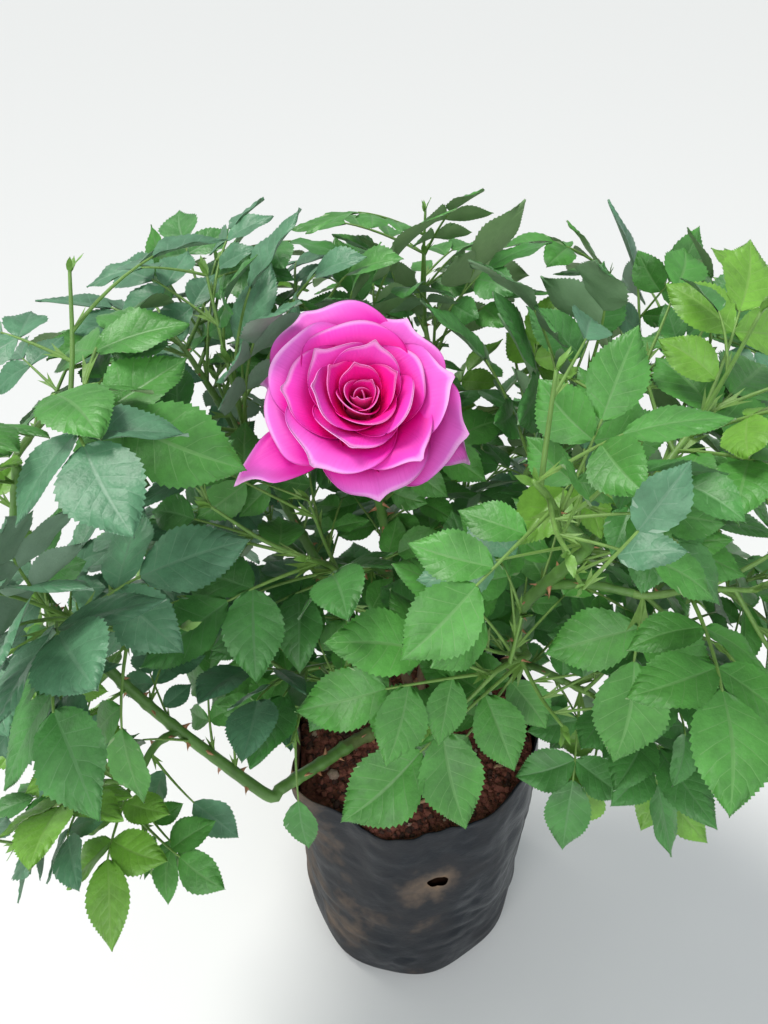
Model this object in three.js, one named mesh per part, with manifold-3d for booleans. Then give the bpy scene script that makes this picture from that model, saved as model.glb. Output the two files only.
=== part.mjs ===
// A patio rose in its nursery bag, in millimetres, +Z up.
// The origin is the middle of the bag's flat underside. The viewer stands at -Y, and X runs to the right.
// The bag holds the soil, the soil carries a short woody stem, the stem carries the canes, the canes
// carry boughs, and each bough's tip meets the stem of one mass of compound leaves.
import * as THREE from "three";
import { mergeVertices } from "three/addons/utils/BufferGeometryUtils.js";
import Module from "manifold-3d";

const wasm = await Module();
wasm.setup();

// Driving dimensions of the bag
const BAG_RADIUS = 55;
const BAG_FOOT_RADIUS = 49;
const BAG_FOOT_HEIGHT = 7;
const BAG_RIM_HEIGHT = 149;
const BAG_WALL = 1.2;
const BAG_SIDES = 24;
const BAG_LEVELS = [BAG_FOOT_HEIGHT, 45, 88, 132];
const BAG_BELLY = 1.6;
const BAG_NARROWING = 1.4;
const BAG_CREASES = [
  { folds: 3, depth: 0.9, turn: 1.1, twist: 2 },
  { folds: 8, depth: 0.6, turn: 0, twist: 4 },
];
const BAG_CENTRE_OFF = [7, 4];
const RIM_FRONT_DIP = 9;
const RIM_SLOPE = 5;
const RIM_SLOPE_TURN = 2.4;
const RIM_WAVES = 5;
const RIM_WAVE_HEIGHT = 2.2;
const DRAIN_ANGLES = [-80, 40, 160];
const DRAIN_HEIGHT = 99;
const DRAIN_WIDTH = 7;
const DRAIN_TALL = 5;
const DRAIN_BORE = 12;
const DRAIN_SIDES = 10;

// Driving dimensions of the soil
const SOIL_HEIGHT = 135;
const SOIL_RINGS = 3;
const SOIL_LEVEL_RADIUS = 16;
const SOIL_HEAP = 1.6;
const SOIL_DROP = 1.2;

// Driving dimensions of the trunk and the limbs
const CLEARANCE = 0.3;
const TRUNK_RADIUS = 7.5;
const TRUNK_HEIGHT = 19;
const TRUNK_SIDES = 10;
const TRUNK_PROFILE = [
  [0, 1.4],
  [0.2, 1],
  [0.5, 0.86],
  [0.78, 1.02],
  [1, 0.62],
];
const TRUNK_LEAN = [0.8, 0.6];
const TRUNK_TOP = 1.5;
const ROOT_LOBES = 5;
const ROOT_LOBE_DEPTH = 0.12;
const CANE_SIDES = 6;
const CANE_LEAST_RADIUS = 2;
const BOUGH_SIDES = 5;
const BOUGH_RADIUS = 1.65;
const BOUGH_TIP_RADIUS = 1.35;
const BOUGH_ASLANT = 0.12;
const LIMB_STEP = 17;
const LEAD = 5;

// Driving dimensions of the stems and the leaf stalks
const STEM_SIDES = 4;
const STEM_STEPS = 4;
const STEM_RADIUS = 1.25;
const STEM_TIP_RADIUS = 0.8;
const STEM_ARCH = 0.06;
const STALK_RADIUS = 0.75;
const STALK_TIP_RADIUS = 0.5;
const STALK_BEND = 0.55;
const LEAFLET_SINK = 0.2;

// The crown's outline: a rounded block round its centre
const REACH_CENTRE = [-4, -8, 253];
const REACH = [170, 138, 106];
const REACH_POWER = 3.2;

// The grids that joined solids are snapped to, the finest first
const GRIDS = [0.002, 0.005, 0.011, 0.023];

// Driving dimensions of a compound leaf, as shares of its end leaflet's length
const STALK_SHARE = 1.35;
const LEAFLET_WIDTH = 0.66;
const LEAFLET_THICKNESS = 0.02;
const LEAFLET_MIDDLE = 0.45;
const LEAFLET_OUTLINE = [
  [0, 0, 0],
  [0.28, 0.44, 0.07],
  [0.66, 0.37, 0.03],
  [1, 0, -0.1],
  [0.66, -0.37, 0.03],
  [0.28, -0.44, 0.07],
];
const PAIR_STEPS = [0.31, 0.84];
const PAIR_LEAST_PLACE = 0.2;
const PAIR_SIZES = [0.86, 0.72];
const PAIR_SPREADS = [1.13, 1.26];

// The room that leaves keep
const LEAFLET_GAP = 5;
const OWN_GAP = 3.7;
const STALK_CLEAR = 1.2;
const BLADE_CLEAR = 1.6;
const STEM_CLEAR = 3;
const SHARED_SPACE = 12;
const BAG_CLEAR_RADIUS = 64;
const BAG_CLEAR_HEIGHT = 163;
const WIDE_SPACE = 40;
const HEADINGS = 24;
const VIEWER_LEAN = new THREE.Vector3(0, -0.25, 0);

// The bloom: its seat at the top of the calyx, its axis and the rows of petals from the core outwards
const BLOOM_SEAT = [-20.5, -12, 303];
const BLOOM_AXIS = [0.06, -0.5, 0.86];
const BLOOM_CLEAR = 37;
const BLOOM_VIEW = [3, -102, 64];
const BLOOM_VIEW_CLEAR = 31;
const PETAL_THICKNESS = 0.7;
const PETAL_OVERLAP = 1.08;
const PETAL_FACES_ACROSS = 2;
const PETAL_FACES_ALONG = 3;
const BLOOM_CORE = [
  [0, -11],
  [3, -9],
  [4.2, -5],
  [3.6, -1],
  [5.6, 2],
  [6.8, 7],
  [6, 13],
  [4.2, 17.5],
  [0, 19],
];
const PETAL_ROWS = [
  { count: 3, length: 24, width: 13, open: 9, curl: 0, turn: 0 },
  { count: 5, length: 26, width: 19, open: 27, curl: 2, turn: 12 },
  { count: 5, length: 30, width: 25, open: 46, curl: 8, turn: 48 },
  { count: 6, length: 34, width: 29, open: 66, curl: 20, turn: 20 },
];

const vector = (p) => new THREE.Vector3(...p);
const array = (p) => p.toArray();
const lerp = (a, b, t) => a + (b - a) * t;
const degrees = (a) => (a * Math.PI) / 180;

// Random numbers from 0 to 1 that come out the same for the same seed.
function seeded(seed) {
  let state = seed >>> 0;
  return () => {
    state = (state + 0x6d2b79f5) >>> 0;
    let t = Math.imul(state ^ (state >>> 15), 1 | state);
    t = (t + Math.imul(t ^ (t >>> 7), 61 | t)) ^ t;
    return ((t ^ (t >>> 14)) >>> 0) / 4294967296;
  };
}

// Solids and geometries

function solidOf(points, triangles) {
  const build = (faces) =>
    new wasm.Manifold(
      new wasm.Mesh({
        numProp: 3,
        vertProperties: Float32Array.from(points.flatMap((p) => [p.x, p.y, p.z])),
        triVerts: Uint32Array.from(faces.flat()),
      }),
    );
  const solid = build(triangles);
  return solid.volume() > 0 ? solid : build(triangles.map(([a, b, c]) => [a, c, b]));
}

// A closed solid through rings of points, with a fan at each end round a cap point.
function loftSolid(rings, firstCap, lastCap) {
  const sides = rings[0].length;
  const points = [...rings.flat(), firstCap, lastCap];
  const first = points.length - 2;
  const last = points.length - 1;
  const top = (rings.length - 1) * sides;
  const triangles = [];
  for (let i = 0; i < sides; i++) {
    const j = (i + 1) % sides;
    triangles.push([first, j, i], [last, top + i, top + j]);
    for (let k = 0; k < rings.length - 1; k++) {
      const a = k * sides + i;
      const b = k * sides + j;
      triangles.push([a, b, b + sides], [a, b + sides, a + sides]);
    }
  }
  return solidOf(points, triangles);
}

function geometryOf(solid) {
  const mesh = solid.getMesh();
  const positions = new Float32Array(mesh.numVert * 3);
  for (let i = 0; i < mesh.numVert; i++)
    positions.set(mesh.vertProperties.subarray(i * mesh.numProp, i * mesh.numProp + 3), i * 3);
  const geometry = new THREE.BufferGeometry();
  geometry.setAttribute("position", new THREE.BufferAttribute(positions, 3));
  geometry.setIndex(new THREE.BufferAttribute(mesh.triVerts, 1));
  return geometry;
}

// The solid with its points snapped to a grid, so that slivers close.
function snapped(solid, grid) {
  const geometry = geometryOf(solid);
  const places = geometry.getAttribute("position").array;
  places.forEach((x, i) => (places[i] = Math.round(x / grid) * grid));
  const merged = mergeVertices(geometry, grid / 2);
  return new wasm.Manifold(
    new wasm.Mesh({
      numProp: 3,
      vertProperties: merged.attributes.position.array,
      triVerts: Uint32Array.from(merged.index.array),
    }),
  );
}

// Whether each edge, told by the places of its ends, has exactly two faces.
function isClean(solid) {
  const { index } = mergeVertices(geometryOf(solid), GRIDS[0] / 2);
  const uses = new Map();
  for (let i = 0; i < index.count; i++) {
    const next = i % 3 === 2 ? i - 2 : i + 1;
    const key = [index.getX(i), index.getX(next)].sort((a, b) => a - b).join();
    uses.set(key, (uses.get(key) ?? 0) + 1);
  }
  return [...uses.values()].every((n) => n === 2);
}

// The largest body of a joined solid, without its loose scraps and sealed hollows, or nothing where an
// edge that more than two faces share stays in it.
function mainBody(solid) {
  for (const grid of GRIDS) {
    const bodies = snapped(solid, grid).decompose();
    const best = bodies.reduce((a, b) => (b.volume() > a.volume() ? b : a));
    if (isClean(best)) return best;
  }
  return null;
}

// Limbs: tapering tubes along a smooth curve

function curveThrough(points) {
  return new THREE.CatmullRomCurve3(points.map(vector), false, "catmullrom", 0.5);
}

function tubeSolid(curve, radius, tipRadius, sides, steps) {
  const frames = curve.computeFrenetFrames(steps);
  const rings = [];
  for (let k = 0; k <= steps; k++) {
    const centre = curve.getPointAt(k / steps);
    const r = lerp(radius, tipRadius, k / steps);
    rings.push(
      Array.from({ length: sides }, (_, i) => {
        const a = (2 * Math.PI * i) / sides;
        return centre
          .clone()
          .addScaledVector(frames.normals[k], r * Math.cos(a))
          .addScaledVector(frames.binormals[k], r * Math.sin(a));
      }),
    );
  }
  return loftSolid(rings, curve.getPointAt(0), curve.getPointAt(1));
}

function limb({ radius, tip, ...path }, grown = 0) {
  const curve = limbCurve(path);
  const steps = Math.max(3, Math.round(curve.getLength() / LIMB_STEP));
  const sides = radius < CANE_LEAST_RADIUS ? BOUGH_SIDES : CANE_SIDES;
  return tubeSolid(curve, radius + grown, tip + grown, sides, steps);
}

// The trunk: a short woody stem with a root flare, cut flat at the soil

function trunkSolid(grown = 0) {
  const foot = SOIL_HEIGHT + CLEARANCE;
  const [leanX, leanY] = TRUNK_LEAN;
  const rings = TRUNK_PROFILE.map(([share, width]) =>
    Array.from({ length: TRUNK_SIDES }, (_, i) => {
      const a = (2 * Math.PI * i) / TRUNK_SIDES;
      const lobe = 1 + ROOT_LOBE_DEPTH * (1 - share) * Math.cos(ROOT_LOBES * a + 0.6);
      const r = TRUNK_RADIUS * width * lobe + grown;
      return new THREE.Vector3(
        r * Math.cos(a) + leanX * share,
        r * Math.sin(a) + leanY * share,
        foot + share * TRUNK_HEIGHT + (share === 1 ? grown : 0),
      );
    }),
  );
  const top = new THREE.Vector3(leanX, leanY, foot + TRUNK_HEIGHT + TRUNK_TOP + grown);
  return loftSolid(rings, new THREE.Vector3(0, 0, foot), top);
}

// The bag: thin film round the soil, creased, with a rim that dips in front

function rimHeight(angle) {
  const fromFront = angle + Math.PI / 2;
  return (
    BAG_RIM_HEIGHT -
    RIM_FRONT_DIP * Math.max(0, Math.cos(fromFront)) ** 3 +
    RIM_SLOPE * Math.cos(fromFront - RIM_SLOPE_TURN) +
    RIM_WAVE_HEIGHT * Math.sin(RIM_WAVES * fromFront + 0.7)
  );
}

function bagRadius(angle, height) {
  const share = height / BAG_RIM_HEIGHT;
  const foot = Math.min(1, height / BAG_FOOT_HEIGHT);
  const crease = ({ folds, depth, turn, twist }) => depth * Math.sin(folds * angle + turn + twist * share);
  const creases = BAG_CREASES.map(crease).reduce((a, b) => a + b);
  const belly = BAG_BELLY * Math.sin(Math.PI * share) - BAG_NARROWING * share;
  return lerp(BAG_FOOT_RADIUS, BAG_RADIUS, foot) + (creases + belly) * foot;
}

function bagRing(inset, heightAt) {
  return Array.from({ length: BAG_SIDES }, (_, i) => {
    const angle = (2 * Math.PI * i) / BAG_SIDES;
    const height = heightAt(angle);
    const r = bagRadius(angle, height) - inset;
    return new THREE.Vector3(r * Math.cos(angle), r * Math.sin(angle), height);
  });
}

// The ring round the bag's foot, drawn in by its inset and lifted to a height.
function floorRing(inset, height) {
  return bagRing(inset, () => 0).map((p) => new THREE.Vector3(p.x, p.y, height));
}

function bagSolid() {
  const heights = [...BAG_LEVELS.map((height) => () => height), rimHeight];
  const rings = [floorRing(0, 0)];
  for (const heightAt of heights) rings.push(bagRing(0, heightAt));
  for (const heightAt of heights.toReversed()) rings.push(bagRing(BAG_WALL, heightAt));
  rings.push(floorRing(BAG_WALL, BAG_WALL));
  const under = new THREE.Vector3(...BAG_CENTRE_OFF, 0);
  const bag = loftSolid(rings, under, new THREE.Vector3(...BAG_CENTRE_OFF, BAG_WALL));
  return DRAIN_ANGLES.reduce((left, angle) => left.subtract(drainSolid(degrees(angle))), bag);
}

// An oval bore through the bag's wall.
function drainSolid(angle) {
  const bore = new THREE.CylinderGeometry(0.5, 0.5, DRAIN_BORE, DRAIN_SIDES);
  bore.scale(DRAIN_WIDTH, 1, DRAIN_TALL);
  bore.applyMatrix4(
    new THREE.Matrix4().makeBasis(
      new THREE.Vector3(-Math.sin(angle), Math.cos(angle), 0),
      new THREE.Vector3(Math.cos(angle), Math.sin(angle), 0),
      new THREE.Vector3(0, 0, 1),
    ),
  );
  const r = bagRadius(angle, DRAIN_HEIGHT);
  bore.translate(r * Math.cos(angle), r * Math.sin(angle), DRAIN_HEIGHT);
  return closedSolid(bore);
}

// A three.js geometry as a solid, with the vertices that lie on one place made one.
function closedSolid(geometry) {
  const place = geometry.getAttribute("position");
  const points = [];
  const known = new Map();
  const same = [];
  for (let i = 0; i < place.count; i++) {
    const p = new THREE.Vector3().fromBufferAttribute(place, i);
    const key = p.toArray().map((x) => Math.round(x * 1e4)).join();
    if (!known.has(key)) {
      known.set(key, points.length);
      points.push(p);
    }
    same.push(known.get(key));
  }
  const triangles = [];
  for (let i = 0; i < geometry.index.count; i += 3) {
    const face = [0, 1, 2].map((k) => same[geometry.index.getX(i + k)]);
    if (new Set(face).size === 3) triangles.push(face);
  }
  return solidOf(points, triangles);
}

function soilTop(x, y) {
  const r = Math.hypot(x, y);
  const away = Math.min(1, Math.max(0, r / SOIL_LEVEL_RADIUS - 1));
  return SOIL_HEIGHT + away * (SOIL_HEAP * Math.sin(x / 9 + 1) * Math.cos(y / 11) - SOIL_DROP);
}

function soilSolid() {
  const inset = BAG_WALL + 1.6 * CLEARANCE;
  const foot = BAG_WALL + CLEARANCE;
  const walls = BAG_LEVELS.map((height) => bagRing(inset, () => height)).toReversed();
  const top = [];
  for (let k = 1; k < SOIL_RINGS; k++) {
    const share = k / SOIL_RINGS;
    top.push(
      walls[0].map((p) => {
        const x = p.x * share;
        const y = p.y * share;
        return new THREE.Vector3(x, y, soilTop(x, y));
      }),
    );
  }
  const rings = [...top, ...walls, floorRing(inset, foot)];
  return loftSolid(rings, new THREE.Vector3(0, 0, SOIL_HEIGHT), new THREE.Vector3(0, 0, foot));
}

// The canes rise from the trunk through a few points each. The left cane runs low over the bag's rim,
// and turns up beyond it as a limb of its own that follows the first.
const CANES = {
  cane_left_foot: {
    from: "trunk",
    radius: 3.0,
    tip: 2.5,
    points: [[-3, -2, 144], [-22, -11, 146], [-40, -27, 150], [-56, -41, 153]],
  },
  cane_left: {
    follows: "cane_left_foot",
    radius: 2.4,
    tip: 1.6,
    points: [[-79, -37, 167], [-105, -28, 191], [-128, -21, 226], [-136, -19, 262], [-128, -17, 294]],
  },
  cane_right: {
    from: "trunk",
    radius: 2.8,
    tip: 2.0,
    points: [[3, -1, 147], [27, -6, 174], [37, -14, 205], [34, -23, 238], [45, -39, 278]],
  },
  cane_bloom: {
    from: "trunk",
    radius: 2.4,
    tip: 1.6,
    points: [[0, 1, 151], [-5, 7, 169], [-11, 15, 206], [-14, 10, 248], [-18.5, -4, 287]],
  },
  cane_back_left: {
    from: "trunk",
    radius: 2.5,
    tip: 1.6,
    points: [[-4, 1, 147], [-15, 5, 166], [-33, 13, 205], [-53, 20, 254], [-73, 27, 292]],
  },
  cane_back: {
    from: "trunk",
    radius: 2.5,
    tip: 1.6,
    points: [[1, 3, 147], [7, 26, 192], [9, 50, 243], [6, 64, 278]],
  },
  cane_back_right: {
    from: "trunk",
    radius: 2.5,
    tip: 1.6,
    points: [[3, 2, 148], [27, 15, 193], [48, 31, 243], [63, 42, 278]],
  },
};

// The boughs: the cane, the share of the cane's length where each leaves it, and its own tip.
const BOUGHS = {
  bough_left_low: { from: "cane_left", at: 0.28, tip: [-104, -50, 181] },
  bough_left_middle: { from: "cane_left", at: 0.66, tip: [-122, -39, 249] },
  bough_front: { from: "cane_right", at: 0.52, tip: [35, -35, 229] },
  bough_right_low: { from: "cane_right", at: 0.41, tip: [54, -24, 200] },
  bough_right: { from: "cane_right", at: 0.84, tip: [61, -45, 268] },
  bough_right_top: { from: "cane_right", at: 0.91, tip: [64, -31, 300] },
  bough_middle: { from: "cane_bloom", at: 0.5, tip: [-25, -8, 240] },
  bough_inner_left: { from: "cane_bloom", at: 0.25, tip: [-31, -9, 195] },
  bough_bloom_left: { from: "cane_back_left", at: 0.73, tip: [-59, 9, 279] },
  bough_back_left_low: { from: "cane_back_left", at: 0.43, tip: [-57, 38, 218] },
  bough_back_low: { from: "cane_back", at: 0.47, tip: [20, 63, 212] },
  bough_top: { from: "cane_back", at: 0.79, tip: [-9, 45, 276] },
  bough_back_right_low: { from: "cane_back_right", at: 0.44, tip: [63, 31, 210] },
  bough_bloom_right: { from: "cane_back_right", at: 0.71, tip: [39, 15, 268] },
};

// A bough leaves its cane aslant, in between the cane's direction and its own tip's.
function boughSpec({ from, at, tip }) {
  const cane = limbCurve(CANES[from]);
  const root = cane.getPointAt(at);
  const middle = root.clone().lerp(vector(tip), 0.45);
  middle.addScaledVector(cane.getTangentAt(at), BOUGH_ASLANT * root.distanceTo(vector(tip)));
  const points = [array(root), array(middle), tip];
  return { from, radius: BOUGH_RADIUS, tip: BOUGH_TIP_RADIUS, points };
}

// The middle line of a limb. One that follows another starts clear of that limb's tip, in line with it.
function limbCurve({ follows, points }) {
  return curveThrough(follows ? [...leadFrom(CANES[follows]), ...points] : points);
}

function leadFrom(carrier) {
  const curve = limbCurve(carrier);
  const tip = curve.getPointAt(1);
  const along = curve.getTangentAt(1);
  return [CLEARANCE, LEAD].map((d) => tip.clone().addScaledVector(along, d)).map(array);
}

const LIMBS = {
  ...CANES,
  bough_right_fork: {
    follows: "cane_right",
    radius: 1.8,
    tip: BOUGH_TIP_RADIUS,
    points: [[43, -46, 290], [36, -50, 299]],
  },
};
for (const name in BOUGHS) LIMBS[name] = boughSpec(BOUGHS[name]);

// The masses of leaves. Each grows from the tip of its limb along a stem to its end point.
// aimed leaves are the large ones of the photograph: the place on the stem, where the leaf's stalk
// ends, and the length of its end leaflet. The others follow the rule, in number and in size.
const MASSES = {
  leaves_front: {
    from: "bough_front",
    end: [20, -52, 238],
    seed: 11,
    rule: 4,
    size: 29,
    aimed: [[0.15, [-3, -69, 220], 36], [0.9, [-14, -64, 246], 29]],
  },
  leaves_right_low: {
    from: "bough_right_low",
    end: [72, -38, 199],
    seed: 12,
    rule: 4,
    size: 27,
    aimed: [[0.3, [54, -57, 184], 27]],
  },
  leaves_right: {
    from: "bough_right",
    end: [94, -50, 274],
    seed: 13,
    rule: 4,
    size: 30,
    aimed: [[0.1, [60, -62, 256], 34], [0.95, [128, -52, 280], 30]],
  },
  leaves_right_top: {
    from: "bough_right_top",
    end: [82, -16, 314],
    seed: 14,
    rule: 5,
    size: 30,
    aimed: [[0.3, [90, -10, 317], 35], [0.8, [110, -32, 306], 30]],
  },
  leaves_fork: {
    from: "bough_right_fork",
    end: [23, -60, 321],
    seed: 15,
    rule: 4,
    size: 25,
    aimed: [[0.4, [8, -78, 303], 26]],
  },
  leaves_bloom_right: {
    from: "bough_bloom_right",
    end: [54, 18, 306],
    seed: 16,
    rule: 4,
    size: 30,
    aimed: [[0.25, [33, 3, 318], 34]],
  },
  leaves_middle: {
    from: "bough_middle",
    end: [-38, -30, 268],
    seed: 17,
    rule: 5,
    size: 30,
    aimed: [[0.75, [-63, -43, 262], 34], [0.6, [-30, -60, 256], 32], [0.2, [-52, -22, 240], 32]],
  },
  leaves_left_top: {
    from: "cane_left",
    end: [-98, -22, 325],
    seed: 18,
    rule: 5,
    size: 31,
    aimed: [[0.7, [-84, -33, 321], 35], [1, [-95, -2, 334], 32]],
  },
  leaves_left_middle: {
    from: "bough_left_middle",
    end: [-104, -54, 266],
    seed: 19,
    rule: 6,
    size: 31,
    aimed: [[0.9, [-84, -50, 280], 33]],
  },
  leaves_left_low: {
    from: "bough_left_low",
    end: [-124, -58, 184],
    seed: 42,
    rule: 5,
    size: 29,
    aimed: [[0.2, [-97, -66, 166], 30], [0.9, [-146, -56, 176], 32]],
  },
  leaves_inner_left: {
    from: "bough_inner_left",
    end: [-52, -28, 206],
    seed: 21,
    rule: 5,
    size: 27,
    aimed: [[0.6, [-47, -50, 204], 31]],
  },
  leaves_bloom_left: {
    from: "bough_bloom_left",
    end: [-64, 10, 316],
    seed: 22,
    rule: 5,
    size: 30,
    aimed: [],
  },
  leaves_back_left: {
    from: "cane_back_left",
    end: [-94, 50, 310],
    seed: 23,
    rule: 6,
    size: 30,
    aimed: [],
  },
  leaves_back: {
    from: "cane_back",
    end: [0, 88, 306],
    seed: 24,
    rule: 6,
    size: 30,
    aimed: [],
  },
  leaves_back_right: {
    from: "cane_back_right",
    end: [92, 54, 305],
    seed: 25,
    rule: 6,
    size: 30,
    aimed: [],
  },
  leaves_back_low: {
    from: "bough_back_low",
    end: [26, 92, 220],
    seed: 26,
    rule: 4,
    size: 30,
    aimed: [],
  },
  leaves_back_left_low: {
    from: "bough_back_left_low",
    end: [-92, 56, 226],
    seed: 27,
    rule: 5,
    size: 30,
    aimed: [],
  },
  leaves_back_right_low: {
    from: "bough_back_right_low",
    end: [98, 40, 222],
    seed: 28,
    rule: 5,
    size: 30,
    aimed: [],
  },
  leaves_top: {
    from: "bough_top",
    end: [-22, 46, 306],
    seed: 31,
    rule: 5,
    size: 30,
    aimed: [],
  },
};

// The leaf rule

// The stem of a mass: it leaves its limb's tip in the limb's own direction, then bends to its end.
function stemCurve({ from, end }) {
  const [start, lead] = leadFrom(LIMBS[from]);
  const middle = vector(lead).lerp(vector(end), 0.5);
  middle.z += STEM_ARCH * vector(lead).distanceTo(vector(end));
  return curveThrough([start, lead, array(middle), end]);
}

// One compound leaf: a stalk that arches from root to tip, a leaflet at its end and two pairs beside it.
function compoundLeaf(root, tip, size, lean) {
  const chord = tip.clone().sub(root);
  const outward = new THREE.Vector3(tip.x, tip.y, 0).normalize();
  const light = new THREE.Vector3(0, 0, 1).addScaledVector(outward, 0.4).add(lean).normalize();
  const arch = root.clone().lerp(tip, 0.55).addScaledVector(light, 0.1 * chord.length());
  const at = (t) =>
    root
      .clone()
      .multiplyScalar((1 - t) * (1 - t))
      .addScaledVector(arch, 2 * t * (1 - t))
      .addScaledVector(tip, t * t);
  const heading = (t) => at(t + 0.02).sub(at(t - 0.02)).normalize();
  const leaflet = (t, turn, share) => {
    const ahead = heading(t);
    const up = light.clone().addScaledVector(ahead, -light.dot(ahead)).normalize();
    const side = new THREE.Vector3().crossVectors(up, ahead);
    const direction = ahead
      .multiplyScalar(Math.cos(turn))
      .addScaledVector(side, Math.sin(turn))
      .addScaledVector(up, -0.16)
      .normalize();
    const normal = up.addScaledVector(direction, -up.dot(direction)).normalize();
    return { base: at(t), direction, normal, length: size * share };
  };
  const leaflets = [leaflet(0.97, 0, 1)];
  PAIR_STEPS.forEach((step, k) => {
    const place = 1 - (step * size) / chord.length();
    if (place < PAIR_LEAST_PLACE) return;
    for (const side of [1, -1])
      leaflets.push(leaflet(place, side * PAIR_SPREADS[k], PAIR_SIZES[k]));
  });
  return { stalk: [at(0), at(0.5), at(1)], leaflets };
}

// Points spread over a leaflet's blade, for the tests of room.
function bladePoints({ base, direction, normal, length }) {
  const side = new THREE.Vector3().crossVectors(normal, direction);
  const found = [];
  for (let i = 1; i <= 8; i++) {
    const along = i / 8;
    const half = 0.5 * LEAFLET_WIDTH * length * Math.sin(Math.PI * Math.min(1, along) ** 0.8) * 1.05;
    for (let j = -2; j <= 2; j++) {
      found.push(
        base
          .clone()
          .addScaledVector(direction, along * length)
          .addScaledVector(side, (half * j) / 2)
          .addScaledVector(normal, Math.abs(j) * 0.1 * half - 0.1 * along * along * length),
      );
    }
  }
  return found;
}

function distanceToSegment(p, a, b) {
  const abx = b.x - a.x;
  const aby = b.y - a.y;
  const abz = b.z - a.z;
  const apx = p.x - a.x;
  const apy = p.y - a.y;
  const apz = p.z - a.z;
  const length2 = abx * abx + aby * aby + abz * abz;
  const t = Math.min(1, Math.max(0, (apx * abx + apy * aby + apz * abz) / length2));
  return Math.hypot(apx - t * abx, apy - t * aby, apz - t * abz);
}

function segmentsOf(points, radius) {
  return points.slice(1).map((b, i) => ({ a: points[i], b, radius }));
}

// Every limb as short straight stretches, and every mass's skeleton: its stem and its aimed stalks.
const limbSegments = Object.values(LIMBS).flatMap((spec) =>
  segmentsOf(limbCurve(spec).getPoints(12), spec.radius),
);
const stems = Object.fromEntries(
  Object.entries(MASSES).map(([name, mass]) => [name, stemCurve(mass)]),
);
const skeletons = Object.fromEntries(
  Object.entries(MASSES).map(([name, mass]) => [
    name,
    [
      ...segmentsOf(stems[name].getPoints(6), STEM_RADIUS),
      ...mass.aimed.flatMap(([t, tip, length]) => {
        const root = stems[name].getPointAt(t);
        const end = vector(tip).sub(root).setLength(length).add(vector(tip));
        return segmentsOf([root, end], 0);
      }),
    ],
  ]),
);

const bloomMiddle = vector(BLOOM_SEAT).addScaledVector(vector(BLOOM_AXIS).normalize(), 12);
const bloomView = bloomMiddle.clone().add(vector(BLOOM_VIEW));

// Whether every point is within reach, clear of bag, bloom and limbs, and in the mass's own space.
function hasRoom(points, name, margin) {
  return points.every((p) => {
    const shares = array(p).map((x, k) => Math.abs((x - REACH_CENTRE[k]) / REACH[k]));
    if (shares.reduce((sum, share) => sum + share ** REACH_POWER, 0) > 1) return false;
    if (Math.hypot(p.x, p.y) < BAG_CLEAR_RADIUS && p.z < BAG_CLEAR_HEIGHT) return false;
    if (p.distanceTo(bloomMiddle) < BLOOM_CLEAR) return false;
    if (distanceToSegment(p, bloomMiddle, bloomView) < BLOOM_VIEW_CLEAR) return false;
    if (limbSegments.some(({ a, b, radius }) => distanceToSegment(p, a, b) < radius + margin))
      return false;
    const nearest = (owner) =>
      Math.min(...skeletons[owner].map(({ a, b }) => distanceToSegment(p, a, b)));
    const own = nearest(name);
    return Object.keys(skeletons).every(
      (other) => other === name || nearest(other) > Math.max(own - SHARED_SPACE, STEM_CLEAR),
    );
  });
}

// Points that are already taken by leaves, kept by the cube of space that they lie in.
class TakenSpace {
  cubes = new Map();

  cubeOf(p) {
    return array(p).map((x) => Math.floor(x / LEAFLET_GAP));
  }

  add(points, owner) {
    for (const p of points) {
      const key = this.cubeOf(p).join();
      if (!this.cubes.has(key)) this.cubes.set(key, []);
      this.cubes.get(key).push({ p, owner });
    }
  }

  isFree(p, owner) {
    const [x, y, z] = this.cubeOf(p);
    const steps = [-1, 0, 1];
    return steps.every((i) =>
      steps.every((j) =>
        steps.every((k) => {
          const near = this.cubes.get([x + i, y + j, z + k].join()) ?? [];
          return near.every((q) => p.distanceTo(q.p) > (q.owner === owner ? OWN_GAP : LEAFLET_GAP));
        }),
      ),
    );
  }
}

// Points along a stalk, without its first quarter, where it leaves the stem.
function stalkPoints([root, middle, tip]) {
  return [0.25, 0.4, 0.55, 0.7, 0.85, 1].map((t) =>
    t < 0.5 ? root.clone().lerp(middle, 2 * t) : middle.clone().lerp(tip, 2 * t - 1),
  );
}

// The leaf with those of its leaflets that have room, or nothing where its stalk or end has none.
function fitted(leaf, name, taken) {
  const stalk = stalkPoints(leaf.stalk);
  if (!hasRoom(stalk, name, STALK_CLEAR) || !stalk.every((p) => taken.isFree(p, name))) return null;
  const stem = segmentsOf(stems[name].getPoints(6), STEM_RADIUS);
  const leaflets = leaf.leaflets.filter((l) => {
    const blade = bladePoints(l);
    return (
      blade.every((p) => taken.isFree(p, name)) &&
      blade.every((p) => stem.every(({ a, b }) => distanceToSegment(p, a, b) > STEM_CLEAR)) &&
      hasRoom(blade, name, BLADE_CLEAR)
    );
  });
  return leaflets.includes(leaf.leaflets[0]) ? { stalk: leaf.stalk, leaflets } : null;
}

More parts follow.
